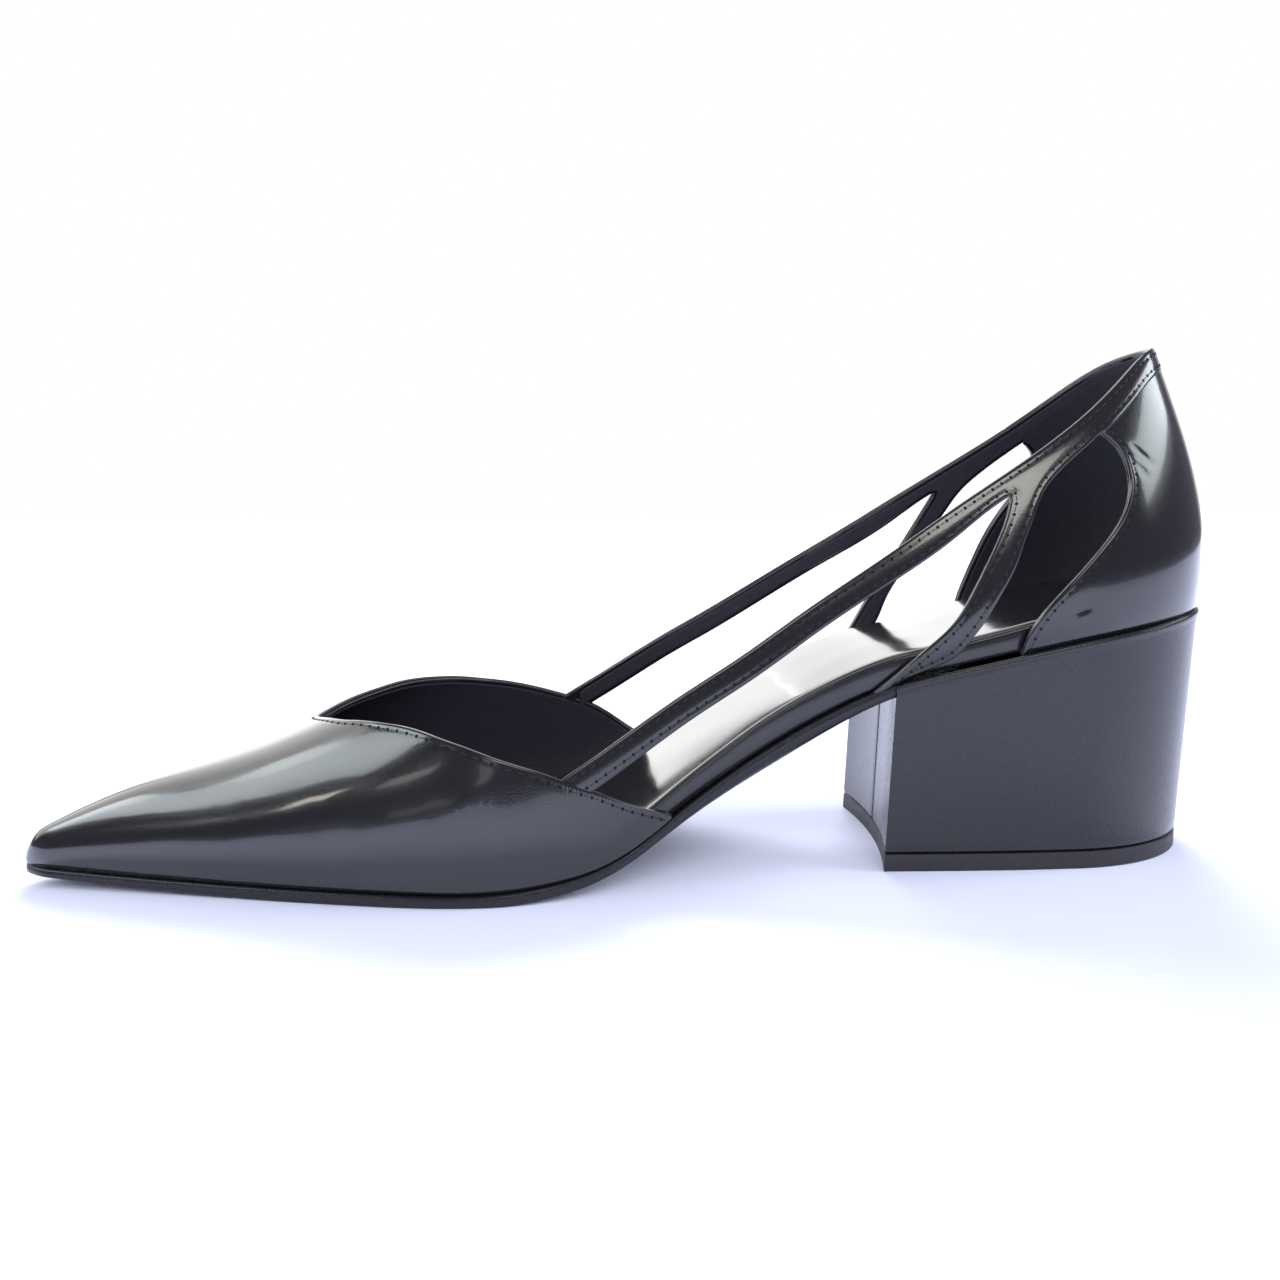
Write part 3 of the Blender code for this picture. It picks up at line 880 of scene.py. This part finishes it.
def turn_at(station, sideways):
    """Turn of the wall's point that lies this far from the section's middle."""
    turn = np.zeros(len(station))
    for _ in range(20):
        height = dome(station) * np.sin((1.0 - turn) * math.pi / 2) ** (2.0 / fullness(station))
        share = np.clip(sideways / half_width(station, height, 1.0), 0.0, 1.0)
        turn = 1.0 - np.arccos(share ** (fullness(station) / 2)) * 2 / math.pi
    return turn


def turn_of_level(station, level):
    share = np.clip((level - feather(station)) / dome(station), 0.0, 1.0)
    return 1.0 - np.arcsin(share ** (fullness(station) / 2)) * 2 / math.pi


def vamp_end(side):
    """Stations and turns along the vamp's edge from the throat to the feather line on one side."""
    station = np.linspace(THROAT, VAMP_REACH, 900)
    share = (vamp_edge(station, side) - feather(station)) / dome(station)
    by_level = turn_of_level(station, vamp_edge(station, side))
    by_plan = turn_at(station, np.abs(throat_side[side](station) - centre(station)))
    turn = by_plan + (by_level - by_plan) * ease(*THROAT_BLEND, station)
    turn[0] = 0.0
    last = np.argmax(share <= 0.0) + 1
    return station[:last], turn[:last]


def vamp_edges():
    lines = {}
    for side in SIDE_NAMES:
        station, turn = vamp_end(side)
        lines[side] = np.stack([way_of(station), side * turn * VAMP_GIRTH], axis=-1)
    rear = np.concatenate([lines[MEDIAL][::-1], lines[LATERAL][1:]])
    bottom = np.array([[VAMP_TOE, -VAMP_GIRTH], lines[MEDIAL][-1]])
    top = np.array([lines[LATERAL][-1], [VAMP_TOE, VAMP_GIRTH]])
    front = np.array([[VAMP_TOE, VAMP_GIRTH], [VAMP_TOE, -VAMP_GIRTH]])
    return [(dense(bottom), False), (rear, True), (dense(top), False), (dense(front), False)]


def dense(line, step=0.4):
    """The same line with a point every step, for lines that bend once they are on the wall."""
    run = run_along(line)
    places = np.linspace(0.0, run[-1], max(int(run[-1] / step), 2) + 1)
    return line_at(places, run, line)


def edge_level(station, side, edge):
    """Level where the wall at a station meets an edge that is drawn in side view."""
    level = edge(station, side)
    for _ in range(30):
        x = station - lean(station, level - feather(station))
        level = edge(x, side)
    return level


def along_strap(start, end, side, edge):
    way = np.linspace(wrap_of(start, side), wrap_of(end, side), 300)
    return np.stack([way, edge_level(station_round(way), side, edge)], axis=-1)


def up_edge(side, edge, low, high):
    level = np.linspace(low, high, 160)
    station = station_at(edge(level), level)
    return np.stack([wrap_of(station, side), level], axis=-1)


def foot_of(side, edge):
    """Level at which an edge drawn in side view comes down to the sole."""
    level = np.linspace(*FOOT_LEVELS, 2000)
    above = level - (sole_top(station_at(edge(level), level)) - BELOW_FEATHER)
    return level[np.argmax(above > 0.0)]


def crotch_of(side):
    level = np.linspace(*CROTCH_LEVELS, 2000)
    x = branch_edge[side](level)
    return level[np.argmax(strap_low(x, side) < level)]


def strap_half(side, front):
    """Lower edges of one side's strap and branch, from the vamp to the top of the teardrop."""
    crotch = crotch_of(side)
    branch_foot = foot_of(side, branch_edge[side])
    tear_foot = foot_of(side, tear_front[side])
    low = along_strap(front, station_at(branch_edge[side](crotch), crotch), side, strap_low)
    branch = up_edge(side, branch_edge[side], crotch, branch_foot)
    tear = up_edge(side, tear_front[side], tear_foot, TEAR_TOP)
    branch[0] = low[-1]
    foot = np.array([branch[-1], tear[0]])
    return [(low, True), (branch, True), (foot, False), (tear, True)]


def turned(edges):
    return [(line[::-1], folded) for line, folded in reversed(edges)]


def strap_edges(front):
    medial = strap_half(MEDIAL, front)
    lateral = strap_half(LATERAL, front)
    tops = {side: station_at(tear_front[side](TEAR_TOP), TEAR_TOP) for side in SIDE_NAMES}
    collar = np.concatenate([
        along_strap(tops[MEDIAL], LENGTH, MEDIAL, strap_low),
        along_strap(LENGTH, tops[LATERAL], LATERAL, strap_low)[1:],
    ])
    collar[0] = medial[-1][0][-1]
    collar[-1] = lateral[-1][0][-1]
    crown = np.concatenate([
        along_strap(front, LENGTH, LATERAL, strap_top),
        along_strap(LENGTH, front, MEDIAL, strap_top)[1:],
    ])
    fronts = [np.array([lateral[0][0][0], crown[0]]), np.array([crown[-1], medial[0][0][0]])]
    back = [(collar, True)]
    return medial + back + turned(lateral) + [(fronts[0], False), (crown, True), (fronts[1], False)]


def counter_edges():
    feet = {side: foot_of(side, tear_rear[side]) for side in SIDE_NAMES}
    rears = {side: up_edge(side, tear_rear[side], feet[side], TEAR_TOP) for side in SIDE_NAMES}
    starts = {side: station_at(tear_rear[side](feet[side]), feet[side]) for side in SIDE_NAMES}
    tops = {side: station_at(tear_rear[side](TEAR_TOP), TEAR_TOP) for side in SIDE_NAMES}

    def sole_edge(station, side):
        return sole_top(station) - BELOW_FEATHER

    def under_band(station, side):
        return strap_low(station, side) + BAND_COVERS

    bottom = []
    top = []
    for side in SIDE_NAMES:
        way = np.linspace(wrap_of(starts[side], side), 0.0, 300)
        bottom.append(np.stack([way, sole_edge(station_round(way), side)], axis=-1))
        top.append(along_strap(tops[side], LENGTH, side, under_band))
    bottom[0][0] = rears[MEDIAL][0]
    bottom[1][0] = rears[LATERAL][0]
    base = np.concatenate([bottom[0], bottom[1][::-1][1:]])
    crown = np.concatenate([top[1], top[0][::-1][1:]])
    joins = [np.array([rears[LATERAL][-1], crown[0]]), np.array([crown[-1], rears[MEDIAL][-1]])]
    return [(base, False), (rears[LATERAL], True), (joins[0], False), (crown, False), (joins[1], False),
            (rears[MEDIAL][::-1], True)]


def crease_lines(source, to_flat):
    """Lines of the creases in flat coordinates, each with its height (negative for a trough) and width."""
    lines = []
    for x0, level0, x1, level1, height, width in zip(*source.values()):
        share = np.linspace(0.0, 1.0, 30)
        lines.append((to_flat(x0 + share * (x1 - x0), level0 + share * (level1 - level0)), height, width))
    return lines


def on_vamp(station, level):
    return np.stack([way_of(station), MEDIAL * turn_of_level(station, level) * VAMP_GIRTH], axis=-1)


def on_counter(x, level):
    return np.stack([wrap_of(station_at(x, level), MEDIAL), level], axis=-1)


def strap_lift(flat):
    """The strap's front ends run in under the vamp."""
    return STRAP_LIFT - DIVE_DEPTH * (1.0 - ease(*STRAP_DIVE, station_round(flat[:, 0])))


def under_strap(flat):
    return strap_lift(flat) - STRAP_THICK


def make_upper(leather, lining, strap_lining_lit, thread, hole_shade):
    """Vamp, strap and counter with their stitches, and the lining sheets behind them."""
    slot = "upper_leather"
    vamp = vamp_edges()
    strap = strap_edges(STRAP_FRONT)
    counter = counter_edges()
    vamp_creases = crease_lines(VAMP_CREASES, on_vamp)
    counter_creases = crease_lines(COUNTER_CREASES, on_counter)
    plain = {"inset": LINING_INSET, "groove": 0.0}
    panel("vamp", over_vamp, vamp, VAMP_LIFT, VAMP_THICK, leather, slot, "upper", creases=vamp_creases)
    panel("strap", round_back, strap, strap_lift, STRAP_THICK, leather, slot, pillow=PILLOW)
    panel("counter", round_back, counter, 0.0, COUNTER_THICK, leather, slot, creases=counter_creases)
    panel("vamp_lining", over_vamp, vamp, VAMP_LIFT - VAMP_THICK, LINING_THICK, lining, slot, **plain)
    # The strap's lining carries the lighter copy of the lining colour, which is painted light.
    panel("strap_lining_lit", round_back, strap_edges(STRAP_LINING_FRONT), under_strap, LINING_THICK,
          strap_lining_lit, slot, **plain)
    panel("counter_lining", round_back, counter, -COUNTER_THICK, LINING_THICK, lining, slot, **plain)
    stitch_rows("vamp", over_vamp, vamp, VAMP_LIFT, VAMP_THICK, thread, hole_shade, slot)
    stitch_rows("strap", round_back, strap, strap_lift, STRAP_THICK, thread, hole_shade, slot, pillow=PILLOW)
    stitch_rows("counter", round_back, counter, 0.0, COUNTER_THICK, thread, hole_shade, slot)


# Sole pieces, made of cross-sections from the toe to the heel

def stations(front, back, toe, heel):
    """Stations from front to back, close together where the ends round off."""
    toe_part = front + toe * (1.0 - np.cos(np.linspace(0.0, math.pi / 2, 13)))
    heel_part = back - heel * (1.0 - np.sin(np.linspace(0.0, math.pi / 2, 33)))
    middle = np.linspace(toe_part[-1], heel_part[0], int((heel_part[0] - toe_part[-1]) / SECTION_STEP))
    return np.concatenate([toe_part[:-1], middle[:-1], heel_part])


def tube(name, rows, material, slot, *nodes):
    piece(name, np.concatenate(rows), skin_faces(rows), material, slot, *nodes)


def half_section(half, low, high, top_round, low_round, bulge):
    """Right half of a layer's section, top middle to bottom middle; a round is its reach and height."""
    thick = high - low
    reach, fall = min(top_round[0], 0.8 * half + 1e-6), min(top_round[1], 0.45 * thick)
    under, rise = min(low_round[0], 0.8 * half + 1e-6), min(low_round[1], 0.7 * (thick - fall))
    turns = np.linspace(0.0, math.pi / 2, 7)
    points = [((half - reach) * share, high) for share in (0.0, 0.25, 0.5, 0.75, 0.9)]
    points += [(half - reach + reach * math.sin(t), high - fall + fall * math.cos(t)) for t in turns]
    for share in (0.25, 0.5, 0.75):
        z = high - fall - share * (thick - fall - rise)
        points.append((half + bulge * math.sin(math.pi * share), z))
    points += [(half - under + under * math.cos(t), low + rise - rise * math.sin(t)) for t in turns]
    points += [((half - under) * share, low) for share in (0.9, 0.6, 0.3, 0.0)]
    return points


def section_ring(station, half, low, high, top_round, low_round, bulge):
    right = half_section(half, low, high, top_round, low_round, bulge)
    left = [(-y, z) for y, z in right[-2:0:-1]]
    middle = centre(station)
    return np.array([(station, middle + y, z) for y, z in right + left])


def insole_half(station, inset):
    half = plain_half(station) - INSOLE_INSET - inset
    back = INSOLE_BACK - inset
    front = INSOLE_FRONT + inset
    return half * ends(station, front, back, INSOLE_TOE_ROUND, INSOLE_HEEL_ROUND - inset)


def make_insole(leather, sock_leather):
    rows = []
    for s in stations(INSOLE_FRONT, INSOLE_BACK, INSOLE_TOE_ROUND, INSOLE_HEEL_ROUND):
        low = sole_top(s) + GAP
        high = low + insole_thickness(s) - SOCK_THICK
        rounds = ((WRAP_EDGE, WRAP_EDGE), (WRAP_FOOT, WRAP_FOOT))
        rows.append(section_ring(s, insole_half(s, 0.0), low, high, *rounds, WRAP_BULGE))
    tube("insole_wrap", rows, leather, "insole_leather", "insole")
    rows = []
    heel = INSOLE_HEEL_ROUND - SOCK_INSET
    for s in stations(INSOLE_FRONT + SOCK_INSET, INSOLE_BACK - SOCK_INSET, INSOLE_TOE_ROUND, heel):
        high = sole_top(s) + GAP + insole_thickness(s)
        low = high - 2 * SOCK_THICK
        half = insole_half(s, SOCK_INSET)
        rows.append(section_ring(s, half, low, high, (SOCK_ROLL, SOCK_FALL), (SOCK_FOOT, SOCK_FOOT), 0.0))
    tube("sock", rows, sock_leather, "insole_leather")


def make_outsole(material):
    rows = []
    along = stations(0.0, LENGTH, TOE_ROUND, HEEL_ROUND)
    for s in np.append(along[along < OUTSOLE_END - 1.0], OUTSOLE_END):
        half = (plain_half(s) - outsole_inset(s)) * ends(s)
        high = sole_top(s)
        low = max(high - outsole_thickness(s), 0.0)
        under = max(outsole_thickness(s) - PLAIN_OUTSOLE, 0.0)
        low_round = (OUTSOLE_EDGE + ROUND_REACH * under, OUTSOLE_EDGE + under)
        top_round = (OUTSOLE_EDGE, OUTSOLE_EDGE)
        rows.append(section_ring(s, half, low, high, top_round, low_round, OUTSOLE_BULGE))
    tube("outsole_leather", rows, material, "outsole_leather", "outsole")


# Heel

def breast_x(side, level):
    """Front face of the heel: a hollow cylinder that leans back a little."""
    chord = BREAST_LATERAL - BREAST_MEDIAL
    half_chord = math.hypot(chord / 2, BREAST_HALF_SPAN)
    radius = (half_chord ** 2 + BREAST_HOLLOW ** 2) / (2 * BREAST_HOLLOW)
    across = math.atan2(chord, 2 * BREAST_HALF_SPAN)
    middle = (BREAST_MEDIAL + BREAST_LATERAL) / 2
    axis_x = middle - (radius - BREAST_HOLLOW) * math.cos(across)
    axis_y = centre(middle) + (radius - BREAST_HOLLOW) * math.sin(across)
    return axis_x + level * BREAST_LEAN / sole_top(middle) + np.sqrt(radius ** 2 - (side - axis_y) ** 2)


def heel_plan(back, level, grow, seam_depth=0.0):
    """Plan of the heel at a level, round the back and over the breast, which may have a middle seam."""
    start_round = back + grow - HEEL_ROUND

    def edge(x, side):
        half = (plain_half(x) - HEEL_SIDE_INSET + grow) * round_end((back + grow - x) / HEEL_ROUND)
        return centre(x) + side * half

    def run(side):
        """Points of one side from the breast's corner to the back's middle."""
        corner = OUTSOLE_END
        for _ in range(40):
            corner = breast_x(edge(corner, side), level)
        straight = np.linspace(corner, start_round, 14)
        rounding = start_round + HEEL_ROUND * np.sin(np.linspace(0.0, math.pi / 2, 26))
        return [(x, edge(x, side)) for x in np.concatenate([straight, rounding[1:]])]

    around = run(MEDIAL) + run(LATERAL)[::-1][1:]
    seam = [SEAM_SIDE + step for step in SEAM_STEPS]
    shoulder = SEAM_SHOULDER * seam_depth
    lateral_part = list(np.linspace(around[-1][1], seam[0], 12)[1:])
    medial_part = list(np.linspace(seam[-1], around[0][1], 12)[1:-1])
    depths = [0.0] * 11 + [shoulder, seam_depth, shoulder] + [0.0] * 11
    for side, deep in zip(lateral_part + seam[1:] + medial_part, depths):
        around.append((breast_x(side, level) + deep, side))
    return np.array(around)


def heel_ring(share, drop, grow):
    """Ring of the heel at a share of its height, drop below that share's sloping level."""
    back = HEEL_BACK_FLOOR + share * (HEEL_BACK_TOP - HEEL_BACK_FLOOR)
    floor = LIFT_HEIGHT + GAP
    plan = heel_plan(back, floor + share * (sole_top(BREAST_STATION) - floor), grow, SEAM_DEPTH)
    level = floor + share * (sole_top(plan[:, 0]) - floor) - drop
    return np.column_stack([plan, level])


def make_heel(cover, rubber):
    rows = [heel_ring(0.0, -rise, grow) for rise, grow in HEEL_FOOT]
    rows += [heel_ring(share, 0.0, 0.0) for share in np.linspace(0.05, 0.93, 12)]
    rows += [heel_ring(1.0, drop, grow) for drop, grow in HEEL_BEAD]
    tube("heel_cover", rows, cover, "heel_cover", "heel_block")
    rows = []
    upper_edge = [(LIFT_HEIGHT - level, grow) for level, grow in reversed(LIFT_EDGE)]
    for level, grow in [*LIFT_EDGE, *upper_edge]:
        plan = heel_plan(HEEL_BACK_FLOOR, level, grow)
        rows.append(np.column_stack([plan, np.full(len(plan), level)]))
    tube("heel_lift", rows, rubber, "lift_rubber", "top_lift")


# Materials

def shader_of(name, colour, roughness):
    made = bpy.data.materials.new(name)
    made.use_nodes = True
    shader = made.node_tree.nodes["Principled BSDF"]
    shader.inputs["Base Color"].default_value = (*colour, 1.0)
    shader.inputs["Roughness"].default_value = roughness
    return made, shader


def add(material, kind, **values):
    node = material.node_tree.nodes.new(kind)
    for name, value in values.items():
        if name in node.inputs:
            node.inputs[name].default_value = value
        else:
            setattr(node, name, value)
    return node


def link(material, source, target):
    material.node_tree.links.new(source, target)


def noise(material, scale, detail, roughness=0.5):
    """Smooth noise over the shoe's own coordinates; scale is in waves per metre."""
    place = add(material, "ShaderNodeTexCoord")
    made = add(material, "ShaderNodeTexNoise", Scale=scale, Detail=detail, Roughness=roughness)
    link(material, place.outputs["Object"], made.inputs["Vector"])
    return made.outputs["Fac"]


def bump(material, height, strength, distance, under=None):
    made = add(material, "ShaderNodeBump", Strength=strength, Distance=distance)
    link(material, height, made.inputs["Height"])
    if under is not None:
        link(material, under, made.inputs["Normal"])
    return made.outputs["Normal"]


def spread(material, value, low, high):
    """The noise's usual range stretched to a range from low to high."""
    ranges = {"From Min": 0.3, "From Max": 0.7, "To Min": low, "To Max": high}
    made = add(material, "ShaderNodeMapRange", **ranges)
    link(material, value, made.inputs["Value"])
    return made.outputs["Result"]


def glossy_leather(name, colour, rough, wave, grain, coat):
    """Polished leather: a lacquer coat over fine grain, with slow waves that bend the reflections."""
    made, shader = shader_of(name, colour, rough[0])
    link(made, spread(made, noise(made, 900.0, 4.0), *rough), shader.inputs["Roughness"])
    slow = bump(made, noise(made, 55.0, 0.0), wave, 0.004)
    fine = bump(made, noise(made, 2600.0, 3.0, 0.6), grain, 0.0004, slow)
    link(made, fine, shader.inputs["Normal"])
    link(made, slow, shader.inputs["Coat Normal"])
    shader.inputs["IOR"].default_value = 1.5
    shader.inputs["Coat Weight"].default_value = coat
    shader.inputs["Coat Roughness"].default_value = 0.08
    return made


def matte_leather(name, colour, rough, grain, scale):
    made, shader = shader_of(name, colour, rough[0])
    link(made, spread(made, noise(made, scale / 3, 3.0), *rough), shader.inputs["Roughness"])
    link(made, bump(made, noise(made, scale, 4.0, 0.6), grain, 0.0005), shader.inputs["Normal"])
    return made


# Studio

def make_floor():
    mesh = bpy.data.meshes.new("floor")
    bm = bmesh.new()
    bmesh.ops.create_grid(bm, x_segments=1, y_segments=1, size=6.0)
    bm.to_mesh(mesh)
    bm.free()
    floor = new_object("floor", mesh)
    made, shader = shader_of("floor", (0.70, 0.73, 0.92), 0.9)
    shader.inputs["Specular IOR Level"].default_value = 0.1
    mesh.materials.append(made)


def make_world():
    """Pale to the camera, a soft bluish fill for matte surfaces, and a dark room in reflections."""
    world = bpy.data.worlds.new("studio")
    world.use_nodes = True
    bpy.context.scene.world = world
    nodes = world.node_tree.nodes
    links = world.node_tree.links
    nodes.clear()

    def background(colour, strength):
        made = nodes.new("ShaderNodeBackground")
        made.inputs["Color"].default_value = (*colour, 1.0)
        made.inputs["Strength"].default_value = strength
        return made

    def mix(kind, others, chosen):
        """One shader for a kind of ray and another for all others."""
        made = nodes.new("ShaderNodeMixShader")
        links.new(path.outputs[kind], made.inputs["Fac"])
        links.new(others.outputs[0], made.inputs[1])
        links.new(chosen.outputs[0], made.inputs[2])
        return made

    path = nodes.new("ShaderNodeLightPath")
    fill = background((0.92, 0.95, 1.0), 0.45)
    dark = background((0.31, 0.29, 0.37), 0.55)
    pale = background((1.0, 1.0, 1.0), 1.0)
    seen = mix("Is Camera Ray", mix("Is Glossy Ray", fill, dark), pale)
    output = nodes.new("ShaderNodeOutputWorld")
    links.new(seen.outputs[0], output.inputs["Surface"])


def toward(start, azimuth, elevation, distance):
    """Place seen from a start at an azimuth (0 to the camera, positive to the heel) and an elevation."""
    azimuth = math.radians(azimuth)
    elevation = math.radians(elevation)
    flat = distance * math.cos(elevation)
    move = (flat * math.sin(azimuth), -flat * math.cos(azimuth), distance * math.sin(elevation))
    return Vector([a + b for a, b in zip(start, move)])


def new_light(name, kind, energy, colour, direction):
    data = bpy.data.lights.new(name, kind)
    data.energy = energy
    data.color = colour
    made = new_object(name, data)
    made.rotation_mode = "QUATERNION"
    made.rotation_quaternion = direction.to_track_quat("-Z", "Y")
    return made


def panel_light(name, aim, azimuth, elevation, distance, size, radiance, colour):
    """A bright panel that shows in reflections only."""
    place = toward(aim, azimuth, elevation, distance)
    energy = radiance * math.pi * size[0] * size[1]
    made = new_light(name, "AREA", energy, colour, Vector(aim) - place)
    made.location = place
    made.data.shape = "RECTANGLE"
    made.data.size, made.data.size_y = size
    made.visible_camera = False
    made.visible_diffuse = False


def soft_sun(name, azimuth, elevation, spread_angle, strength, colour):
    """A wide light from far away for the floor and the matte surfaces, not seen in reflections."""
    source = toward((0.0, 0.0, 0.0), azimuth, elevation, 1.0)
    made = new_light(name, "SUN", strength, colour, -source)
    made.data.angle = math.radians(spread_angle)
    made.visible_glossy = False


def make_lights():
    toe = (-0.07, -0.02, 0.02)
    ball = (-0.05, -0.035, 0.02)
    heel = (0.10, -0.02, 0.08)
    middle = (0.0, 0.0, 0.05)
    cool = (0.88, 0.97, 1.0)
    backdrop = (1.0, 0.995, 0.97)
    warm = (1.0, 0.98, 0.90)
    daylight = (0.97, 0.98, 1.0)
    panel_light("left_softbox", toe, -82.0, 41.5, 0.9, (0.85, 0.22), 4.8, cool)
    panel_light("right_softbox", heel, 84.0, 27.5, 0.9, (0.78, 0.17), 4.8, cool)
    panel_light("back_left", middle, -164.5, 20.0, 1.5, (0.85, 1.3), 1.8, backdrop)
    panel_light("back_right", middle, 168.0, 20.0, 1.5, (0.60, 1.3), 1.5, backdrop)
    panel_light("overhead", middle, 180.0, 72.0, 1.0, (0.9, 0.9), 2.2, (1.0, 1.0, 0.98))
    panel_light("left_wing", toe, -125.0, 30.0, 1.3, (1.1, 0.9), 1.6, (1.0, 1.0, 0.96))
    panel_light("right_wing", heel, 142.0, 8.0, 1.3, (0.5, 0.6), 0.4, (1.0, 1.0, 0.97))
    panel_light("lamp_front", heel, 8.0, 31.5, 1.2, (0.50, 0.26), 5.5, warm)
    panel_light("lamp_left", ball, -54.0, 23.8, 1.2, (0.07, 0.05), 13.0, (1.0, 0.97, 0.86))
    panel_light("lamp_middle", ball, -37.5, 22.5, 1.2, (0.26, 0.10), 2.4, warm)
    panel_light("lamp_low", ball, -28.0, 7.0, 1.2, (0.34, 0.08), 0.7, warm)
    panel_light("lamp_rear", ball, -5.0, 16.0, 1.2, (0.20, 0.18), 1.0, warm)
    soft_sun("sun_back", 180.0, 28.0, 44.0, 5.6, daylight)
    soft_sun("sun_front", 0.0, 28.0, 50.0, 2.0, daylight)
    soft_sun("sun_left", -80.0, 42.0, 50.0, 0.7, daylight)
    soft_sun("sun_right", 82.0, 30.0, 50.0, 2.6, daylight)


def make_camera():
    yaw, tilt, roll = (math.radians(angle) for angle in (4.55, 6.65, 0.49))
    right = Vector((math.cos(yaw), -math.sin(yaw), 0.0))
    away = Vector((math.sin(yaw), math.cos(yaw), 0.0))
    up = Vector((0.0, 0.0, 1.0))
    ahead = math.cos(tilt) * away - math.sin(tilt) * up
    down = -math.cos(tilt) * up - math.sin(tilt) * away
    across = math.cos(roll) * right + math.sin(roll) * down
    lower = math.cos(roll) * down - math.sin(roll) * right
    data = bpy.data.cameras.new("camera")
    data.sensor_width = 36.0
    data.lens = 33.75
    data.clip_start = 0.01
    made = new_object("camera", data)
    place = (-0.0196, -0.26401, 0.07782)
    turn = Matrix((across, -lower, -ahead)).transposed().to_4x4()
    made.matrix_world = Matrix.Translation(place) @ turn
    bpy.context.scene.camera = made


def main():
    upper_leather = glossy_leather("upper_leather", (0.007, 0.007, 0.009), (0.11, 0.17), 0.03, 0.08, 0.8)
    wrap_leather = glossy_leather("wrap_leather", (0.008, 0.008, 0.010), (0.14, 0.22), 0.06, 0.10, 0.5)
    sock_leather = glossy_leather("sock_leather", (0.010, 0.010, 0.011), (0.10, 0.16), 0.05, 0.03, 0.8)
    cover_leather = glossy_leather("cover_leather", (0.010, 0.011, 0.014), (0.26, 0.29), 0.02, 0.008, 0.22)
    lining = matte_leather("lining", (0.013, 0.012, 0.021), (0.5, 0.65), 0.5, 1800.0)
    # The strap's lining is a lighter copy of the lining: painted light on the strap's inner face.
    strap_lining_lit = matte_leather("strap_lining_lit", (0.018, 0.017, 0.027), (0.5, 0.65), 0.5, 1800.0)
    sole_edge = matte_leather("sole_edge", (0.008, 0.008, 0.012), (0.2, 0.3), 0.2, 900.0)
    lift_rubber = matte_leather("lift_rubber", (0.019, 0.018, 0.024), (0.45, 0.55), 0.35, 1200.0)
    thread = matte_leather("thread", (0.008, 0.008, 0.010), (0.25, 0.4), 0.2, 6000.0)
    # Near-black, rough needle-hole material: painted shade in the stitch holes.
    hole_shade = matte_leather("needle_hole_shade", (0.002, 0.002, 0.003), (0.8, 0.9), 0.2, 6000.0)

    make_upper(upper_leather, lining, strap_lining_lit, thread, hole_shade)
    make_insole(wrap_leather, sock_leather)
    make_outsole(sole_edge)
    make_heel(cover_leather, lift_rubber)
    make_floor()
    make_world()
    make_lights()
    make_camera()
    bpy.context.scene.view_settings.view_transform = "Standard"


main()
